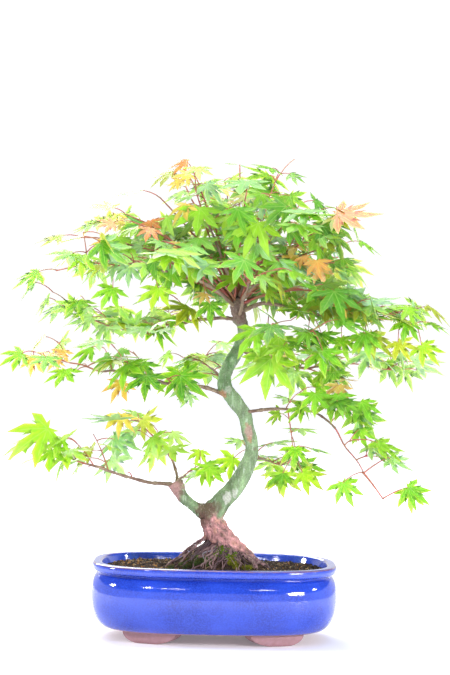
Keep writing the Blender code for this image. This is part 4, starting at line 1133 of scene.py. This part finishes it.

# %% [markdown]
# Some leaves are set one by one, where one that is larger, or redder, or nearer shapes the tree's look: the
# broad yellow-green hands in front of the stem, the new red leaf at the right of the crown, and the two
# turning leaves on the left. Their stalks start on the nearest stem.

# %% Leaves set one by one: x, y, z, bearing, droop in degrees, size, colour
# PALE_SHEEN is a painted sheen: the pale blue-green that the sky's reflection gives a blade.
FRESH, GREEN, DEEP, PALE_SHEEN = (0.28, 0.62, 0.012), (0.10, 0.40, 0.010), (0.028, 0.21, 0.008), (0.19, 0.44, 0.19)
OLIVE, LIME, FLAME = (0.30, 0.33, 0.015), (0.19, 0.44, 0.010), (0.58, 0.10, 0.02)
YELLOW, ORANGE, RED, BROWN = (0.72, 0.44, 0.05), (0.76, 0.27, 0.06), (0.66, 0.10, 0.04), (0.36, 0.15, 0.04)
SET_LEAVES = [
    (-176, -52, 219, 196, 28, 50, FRESH), (61, -72, 318, 262, 66, 40, LIME),
    (45, -64, 283, 240, 74, 44, LIME), (106, -78, 306, 280, 58, 33, GREEN),
    (32, -58, 297, 262, 70, 26, GREEN), (-80, -48, 289, 262, 56, 28, DEEP),
    (-8, -44, 346, 280, 58, 28, DEEP), (100, -60, 261, 270, 50, 30, GREEN),
    (38, -20, 148, 250, 72, 27, FRESH), (55, -24, 151, 285, 76, 28, FRESH),
    (110, -30, 155, 322, 56, 30, GREEN), (82, -26, 202, 270, 50, 29, GREEN),
    (70, -10, 175, 200, 34, 28, GREEN), (91, -14, 175, 345, 26, 31, FRESH),
    (6, 22, 181, 200, 40, 33, FRESH), (-18, 6, 196, 250, 44, 21, FRESH),
    (-60, -14, 208, 268, 58, 20, FRESH), (-102, -6, 233, 262, 56, 27, YELLOW),
    (-101, -30, 268, 232, 44, 27, ORANGE), (120, -70, 446, 348, -4, 46, FLAME),
    (-205, -44, 296, 200, 20, 28, GREEN), (-192, -46, 292, 236, 70, 22, ORANGE),
    (180, -48, 195, 340, 24, 27, PALE_SHEEN), (199, -50, 165, 345, 28, 31, GREEN),
    (-163, -46, 300, 250, 60, 20, ORANGE), (-120, -60, 432, 200, 10, 20, RED),
    (-38, -30, 500, 170, 6, 22, RED), (-36, -46, 486, 215, 40, 20, YELLOW),
    (84, -50, 402, 320, 40, 16, ORANGE), (142, -34, 284, 250, 64, 22, BROWN),
    (-16, -48, 362, 250, 34, 18, ORANGE), (160, -40, 208, 325, 30, 27, PALE_SHEEN),
    (201, -46, 162, 285, 60, 25, GREEN), (148, -36, 224, 300, 48, 25, GREEN),
    (220, -34, 282, 330, 34, 30, LIME), (20, -60, 430, 262, 40, 30, GREEN),
    (-30, -70, 410, 240, 36, 31, GREEN), (60, -70, 396, 285, 44, 30, GREEN),
    (-60, -84, 360, 250, 48, 30, FRESH), (-22, -74, 396, 262, 50, 30, FRESH),
    (-110, -74, 345, 225, 48, 28, GREEN), (150, -50, 320, 290, 50, 30, GREEN),
    (-32, -40, 262, 250, 50, 22, PALE_SHEEN), (-14, -30, 248, 220, 46, 20, PALE_SHEEN),
    (130, -60, 262, 290, 50, 28, GREEN), (108, -42, 320, 285, 50, 28, DEEP),
    (128, -36, 312, 300, 50, 28, GREEN), (92, -50, 326, 260, 50, 26, DEEP),
    (150, -40, 322, 310, 40, 27, LIME), (118, -48, 256, 268, 56, 28, DEEP),
    (140, -46, 250, 300, 50, 27, DEEP), (162, -44, 262, 305, 40, 30, GREEN),
    (186, -40, 312, 320, 44, 27, OLIVE),
]
hand = np.array([row[:6] for row in SET_LEAVES], float)
LONGEST_STALK = 24.0
hand_tint = np.array([row[6] for row in SET_LEAVES])
LATE_STEMS = [  # the hanging branch's thin end, and the two stalks that leave it: start, end, base radius
    ((152, -42, 180), (174, -46, 152), 1.25), ((153, -42, 179), (177, -48, 196), 0.9),
    ((173, -46, 153), (196, -50, 165), 0.9),
]
for start, end, radius in LATE_STEMS:
    stems.append(("hanging", arc(np.array(start, float), np.array(end, float), 1.0), radius, 0))
stem_points = np.vstack([route for _, route, _, _ in stems])
stem_limb = np.concatenate([[limb] * len(route) for limb, route, _, _ in stems])
gap = stem_points[None] - (hand[:, None, :3] + (0, 0, 6))
nearest = np.argmin(np.linalg.norm(gap, axis=2), axis=1)
leaf_start = np.vstack([leaf_start, stem_points[nearest]])
reach = hand[:, :3] - stem_points[nearest]
far = np.linalg.norm(reach, axis=1)
hand[:, :3] = stem_points[nearest] + reach * np.minimum(1, LONGEST_STALK / far)[:, None]
leaf_limb = np.concatenate([leaf_limb, stem_limb[nearest]])
leaf_heart = np.vstack([leaf_heart, hand[:, :3]])
leaf_forward = np.vstack([leaf_forward, turned(np.radians(hand[:, 3]), np.radians(hand[:, 4]))])
leaf_size = np.concatenate([leaf_size, hand[:, 5]])
to_light = np.vstack([to_light, np.tile((0.0, -0.8, 1.0), (len(hand), 1))])
print("set by hand", len(hand), "moved nearer", (far > LONGEST_STALK).sum())

# %% [markdown]
# Most leaves are some green between fresh and deep. The low leaves at the left are fresher and those at the
# right darker, and some at random are a pale blue-green, a painted sheen of the sky on the blade. Here and
# there a twig has turned yellow, orange or red. A few places in the crown are always warm, and a leaf that
# grows near one takes its colour and stays small. The colour also runs to brown or red at the fingers' tips.

# %% The colour of each leaf, and of its tips
WARM_PLACES = [  # x, z, radius, in millimetres, and the colour
    (-38, 503, 16, RED), (-38, 486, 14, YELLOW), (-110, 430, 20, ORANGE), (-75, 440, 14, RED),
    (-20, 360, 12, ORANGE), (-166, 297, 10, ORANGE), (-206, 284, 9, ORANGE), (-100, 262, 16, ORANGE),
    (-98, 228, 14, YELLOW), (80, 404, 12, YELLOW), (92, 394, 12, ORANGE), (144, 284, 16, BROWN),
    (120, 440, 8, ORANGE), (8, 470, 16, YELLOW), (60, 300, 10, ORANGE), (-50, 352, 12, YELLOW),
]
rng = np.random.default_rng(31)
grown = len(leaf_limb) - len(hand)
mix = rng.random((grown, 1))
leaf_tint = np.where(mix < 0.5, np.array(FRESH) * (1 - 2 * mix) + np.array(GREEN) * 2 * mix,
                     np.array(GREEN) * (2 - 2 * mix) + np.array(DEEP) * (2 * mix - 1))
low_left = (leaf_heart[:grown, 0] < -40) & (leaf_heart[:grown, 2] < 245)
leaf_tint[low_left] = leaf_tint[low_left] * 0.35 + np.array(FRESH) * 0.65
right_side = leaf_heart[:grown, 0] > 40
leaf_tint[right_side] *= (0.70, 0.78, 0.80)
# Some leaves, at random, take the pale blue-green: a painted sheen.
sheen_painted = rng.random(grown) < 0.16
leaf_tint[sheen_painted] = np.array(PALE_SHEEN) * rng.uniform(0.8, 1.1, (sheen_painted.sum(), 1))
for x, z, radius, warm in WARM_PLACES:
    away = np.hypot(leaf_heart[:grown, 0] - x, leaf_heart[:grown, 2] - z) / radius
    near = (away < 1) & (rng.random(grown) < 0.6)
    leaf_size[:grown][near] *= 0.72
    leaf_tint[near] = np.array(warm) * rng.uniform(0.8, 1.1, (near.sum(), 1))
olive = rng.random(grown) < 0.10
leaf_tint[olive] = np.array(OLIVE) * rng.uniform(0.7, 1.1, (olive.sum(), 1))
stray = (rng.random(grown) < 0.045) & (leaf_size[:grown] < 27) & (leaf_heart[:grown, 0] < 150)
leaf_tint[stray] = np.array(YELLOW) * (0.9, 0.95, 1.0)
leaf_tint = np.vstack([leaf_tint, hand_tint])
is_warm = leaf_tint[:, 0] > leaf_tint[:, 1]
tip_share = rng.uniform(0, 0.5, len(leaf_tint)) ** 2 + 0.25 * is_warm
tip_share[np.linalg.norm(leaf_heart - (60, -20, 150), axis=1) < 60] = 0.8
tip_tint = np.where(is_warm[:, None], RED, BROWN)

# %% [markdown]
# Leaves that would lie across the bare stem are left off, as the grower pinches them out to show its line,
# and so are leaves that would reach past the space that the frame gives the crown.

# %% Shape all the blades at once
LIMIT_LOW = np.array([-0.2585, -0.1605, 0.0]) - POT_MIDDLE
LIMIT_HIGH = np.array([0.2585, 0.1605, 0.5080]) - POT_MIDDLE
PICKED_PLACES = [  # x, z, radius in millimetres, and the share of leaves that are left off
    (-130, 210, 62, 0.52), (-66, 200, 40, 0.35), (-70, 268, 46, 0.52), (-150, 285, 40, 0.40),
    (22, 378, 36, 0.82), (-30, 360, 34, 0.45), (124, 212, 42, 0.50), (138, 174, 36, 1.0),
    (150, 214, 15, 1.0), (-50, 270, 27, 0.85), (60, 352, 34, 0.35), (-20, 262, 30, 0.6),
    (-120, 330, 40, 0.35),
]
STEM_LINE = np.array([(-40, 158), (-20, 146), (0, 132), (6, 143), (17, 155), (28, 171), (35, 188), (37, 203), (33, 219),
                      (28, 236), (18, 250), (8, 262), (6, 275), (11, 289), (19, 302), (24, 315)])


def shape_leaves(hearts, forwards, lights, sizes, seed):
    """Each blade is the flat leaf bent down by a share of its radius squared, then set in its own three axes:
    forward, across (light x forward) and up (forward x across)."""
    rng = np.random.default_rng(seed)
    n = len(hearts)
    flat = np.repeat(LEAF_POINTS[None], n, axis=0)
    reach = np.hypot(flat[..., 0], flat[..., 1])
    flat[..., 2] -= rng.uniform(0.02, 0.32, (n, 1)) * reach**2
    flat[..., 2] += rng.uniform(-0.10, 0.16, (n, 1)) * np.abs(flat[..., 1]) * reach
    narrow = rng.uniform(0.86, 1.08, (n, 1))
    flat[..., 1] *= narrow
    flat[..., :2] *= 1 + 0.06 * ripple(flat + np.arange(n)[:, None, None] * 3.7, 0.9, seed, 5)[..., None]
    across = unit(np.cross(lights, forwards))
    up = np.cross(forwards, across)
    axes = np.stack([forwards, across, up], axis=1)
    return hearts[:, None] + sizes[:, None, None] * (flat @ axes)


blades = shape_leaves(leaf_heart, leaf_forward, to_light, leaf_size, 5) * MM
inside = ((blades > LIMIT_LOW) & (blades < LIMIT_HIGH)).all(axis=(1, 2))
stem_x = np.interp(blades[..., 2] / MM, STEM_LINE[:, 1], STEM_LINE[:, 0])
across_stem = np.abs(blades[..., 0] / MM - stem_x) < 11
hides = (across_stem & (blades[..., 1] < 0.004) & (blades[..., 2] < 0.262)).any(axis=1)
low = (blades[..., 2] < 0.118).any(axis=1)
picked = np.full(len(blades), 0.16)
for x, z, radius, share in PICKED_PLACES:
    near = (np.hypot(leaf_heart[:, 0] - x, leaf_heart[:, 2] - z) < radius) & (leaf_heart[:, 1] < 30)
    picked[near] = share
spare = np.random.default_rng(37).random(len(blades)) < picked
spare[len(blades) - len(hand) :] = False
kept = inside & ~hides & ~low & ~spare
print("kept", kept.sum(), "of", len(kept), "outside", (~inside).sum(), "across the stem", hides.sum())

# %% [markdown]
# The blade is thin enough for light to come through, which is why a maple glows against the sky. The shader
# scatters light inside the closed blade, so the far side lights the near one. Veins are paler, and they are
# drawn from two fields: how far a point is across its finger, and how far along it.

# %% Leaf, shoot and wood finishes
leaf_finish, leaf_tree, leaf_shader = new_finish(
    "maple_leaf", Roughness=0.42, Specular_IOR_Level=0.45, Subsurface_Weight=0.55, Subsurface_Scale=0.0020,
    Subsurface_Radius=(0.8, 1.0, 0.3))
across, along = field(leaf_tree, "across", "Fac"), field(leaf_tree, "along", "Fac")
ribs = node(leaf_tree, "Math", {0: along, 1: 46.0}, operation="MULTIPLY").outputs[0]
slant = node(leaf_tree, "Math", {0: across, 1: -9.0, 2: ribs}, operation="MULTIPLY_ADD").outputs[0]
wave = node(leaf_tree, "Math", {0: slant}, operation="SINE").outputs[0]
side_vein = ramp(leaf_tree, wave, (0.80, 0), (1.0, 0.25))
main_vein = ramp(leaf_tree, across, (0.04, 0.7), (0.12, 0))
veins = node(leaf_tree, "Math", {0: main_vein, 1: side_vein}, operation="MAXIMUM").outputs[0]
blade = mixed(leaf_tree, ramp(leaf_tree, grain(leaf_tree, 0.006), (0.3, 0), (0.75, 0.30)),
              field(leaf_tree, "tint"), (0.10, 0.26, 0.02))
veined = mixed(leaf_tree, node(leaf_tree, "Math", {0: veins, 1: 0.3}, operation="MULTIPLY").outputs[0],
               blade, (0.62, 0.74, 0.24))
dusty = mixed(leaf_tree, ramp(leaf_tree, field(leaf_tree, "under", "Fac"), (0.5, 0), (1.0, 0.35)), veined,
              (0.45, 0.60, 0.35))
tint(leaf_tree, leaf_shader, dusty)
relief(leaf_tree, leaf_shader, veins, 0.0003, 0.5)

shoot_finish, shoot_tree, shoot_shader = new_finish("red_shoot", Roughness=0.45, Subsurface_Weight=0.1,
                                                    Subsurface_Scale=0.001)
shoot_tone = mixed(shoot_tree, ramp(shoot_tree, grain(shoot_tree, 0.012), (0.35, 0), (0.65, 1)),
                   (0.40, 0.085, 0.075), (0.34, 0.16, 0.075))
tint(shoot_tree, shoot_shader, shoot_tone)
relief(shoot_tree, shoot_shader, grain(shoot_tree, 0.0015), 0.0003, 0.5)

wood_finish, wood_tree, wood_shader = new_finish("branch_bark", Roughness=0.7)
young = mixed(wood_tree, ramp(wood_tree, grain(wood_tree, 0.010), (0.35, 0), (0.65, 1)), (0.16, 0.085, 0.06),
              (0.30, 0.22, 0.15))
lenticels = ramp(wood_tree, grain(wood_tree, 0.0012, 1.0), (0.62, 0), (0.70, 0.55))
tint(wood_tree, wood_shader, mixed(wood_tree, lenticels, young, (0.52, 0.44, 0.36)))
relief(wood_tree, wood_shader, grain(wood_tree, 0.002, 4.0), 0.0006, 0.8)

# %% [markdown]
# One branch of the frame becomes three pieces: the wood, the stems with their leaf stalks, and the blades.
# They ride together, and the blades stand for the frame's leafy sprays.

# %% Make the wood, the stems and the blades, branch by branch
WOOD_STEPS, STEM_STEPS, STALK_STEPS = 72, 12, 5
NODES_APART = 17.0  # mm
stalk_lift = np.linalg.norm(leaf_heart - leaf_start, axis=1) * 0.10
s = np.linspace(0, 1, STALK_STEPS)[None, :, None]
stalks = leaf_start[:, None] * (1 - s) + leaf_heart[:, None] * s
stalks[..., 2] += stalk_lift[:, None] * 4 * s[..., 0] * (1 - s[..., 0])
faces_made = 0
for name, (base_radius, _) in LIMBS.items():
    route = branch_routes[name]
    shares = np.linspace(0, WOOD_SHARE, WOOD_STEPS)
    wood, _ = at_shares(route, shares)
    length = np.linalg.norm(np.diff(route, axis=0), axis=1).sum()
    nodes = np.abs((shares * length / NODES_APART + 0.3) % 1 - 0.5) * NODES_APART
    radius = base_radius + (WOOD_TIP - base_radius) * (shares / WOOD_SHARE) ** 0.8
    radius = radius * (1 + 0.24 * np.exp(-((nodes / 1.6) ** 2))) + 0.12 * ripple(wood, 6, 3)
    verts, faces = tubes(wood[None] * MM, radius[None] * MM, 10)
    add_piece("branch_" + name, verts, faces, wood_finish, "twig", ["limb_" + name])
    faces_made += len(faces)

    mine = [(stem, r) for limb, stem, r, _ in stems if limb == name]
    routes = np.stack([at_shares(stem, np.linspace(0, 1, STEM_STEPS))[0] for stem, _ in mine])
    radii = np.array([r for _, r in mine])[:, None] * np.linspace(1, 0.55, STEM_STEPS)
    chosen = kept & (leaf_limb == name)
    stalk_radii = np.linspace(0.62, 0.42, STALK_STEPS) * np.sqrt(leaf_size[chosen] / 29)[:, None]
    shape = together(tubes(routes * MM, radii * MM, 7), tubes(stalks[chosen] * MM, stalk_radii * MM, 5))
    add_piece("stems_" + name, *shape, shoot_finish, "twig")
    faces_made += len(shape[1])

    shown = blades[chosen]
    offsets = np.arange(len(shown)) * len(LEAF_POINTS)
    faces = [[start + k for k in face] for start in offsets.tolist() for face in LEAF_FACES]
    redness = tip_share[chosen, None] * np.clip((LEAF_MARKS["along"] - 0.55) / 0.45, 0, 1) ** 1.5
    hue = leaf_tint[chosen, None] * (1 - redness[..., None]) + tip_tint[chosen, None] * redness[..., None]
    marks = {key: np.tile(values, len(shown)) for key, values in LEAF_MARKS.items()}
    sprays = [node_name for node_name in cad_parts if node_name.startswith("spray_")
              and (node_name == "spray_" + name or SIDE_SHOOTS.get(node_name[6:], ("",))[0] == name)]
    spray = add_piece("leaves_" + name, shown.reshape(-1, 3), faces, leaf_finish, "leaf", sprays,
                      tint=hue.reshape(-1, 3), **marks)
    spray.data.set_sharp_from_angle(angle=math.radians(75))
    faces_made += len(faces)
print("faces", faces_made)

# %% [markdown]
# ## Drainage
# Under the soil, a plastic screen covers each hole and a bent wire holds it. The frame's own pieces are
# right as they are, so they only get their finishes.

# %% Screens and clips
plastic_finish, plastic_tree, plastic_shader = new_finish("black_plastic", Roughness=0.5)
tint(plastic_tree, plastic_shader, mixed(plastic_tree, grain(plastic_tree, 0.003), (0.012, 0.012, 0.013),
                                         (0.05, 0.045, 0.04)))
relief(plastic_tree, plastic_shader, grain(plastic_tree, 0.0008), 0.0002, 0.6)
wire_finish, wire_tree, wire_shader = new_finish("aluminium_wire", Metallic=1.0)
wire_tone = mixed(wire_tree, grain(wire_tree, 0.002), (0.42, 0.41, 0.40), (0.66, 0.65, 0.64))
tint(wire_tree, wire_shader, wire_tone)
tint(wire_tree, wire_shader, ramp(wire_tree, grain(wire_tree, 0.001), (0.3, 0.28), (0.7, 0.5)), "Roughness")
relief(wire_tree, wire_shader, grain(wire_tree, 0.0006), 0.0001, 0.5)
for name, finish in (("drainage_screen_", plastic_finish), ("screen_clip_", wire_finish)):
    for side_name in ("left", "right"):
        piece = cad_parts[name + side_name]
        piece.data.materials.clear()
        piece.data.materials.append(finish)
print("carried over", [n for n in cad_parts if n.startswith(("drainage", "screen"))])
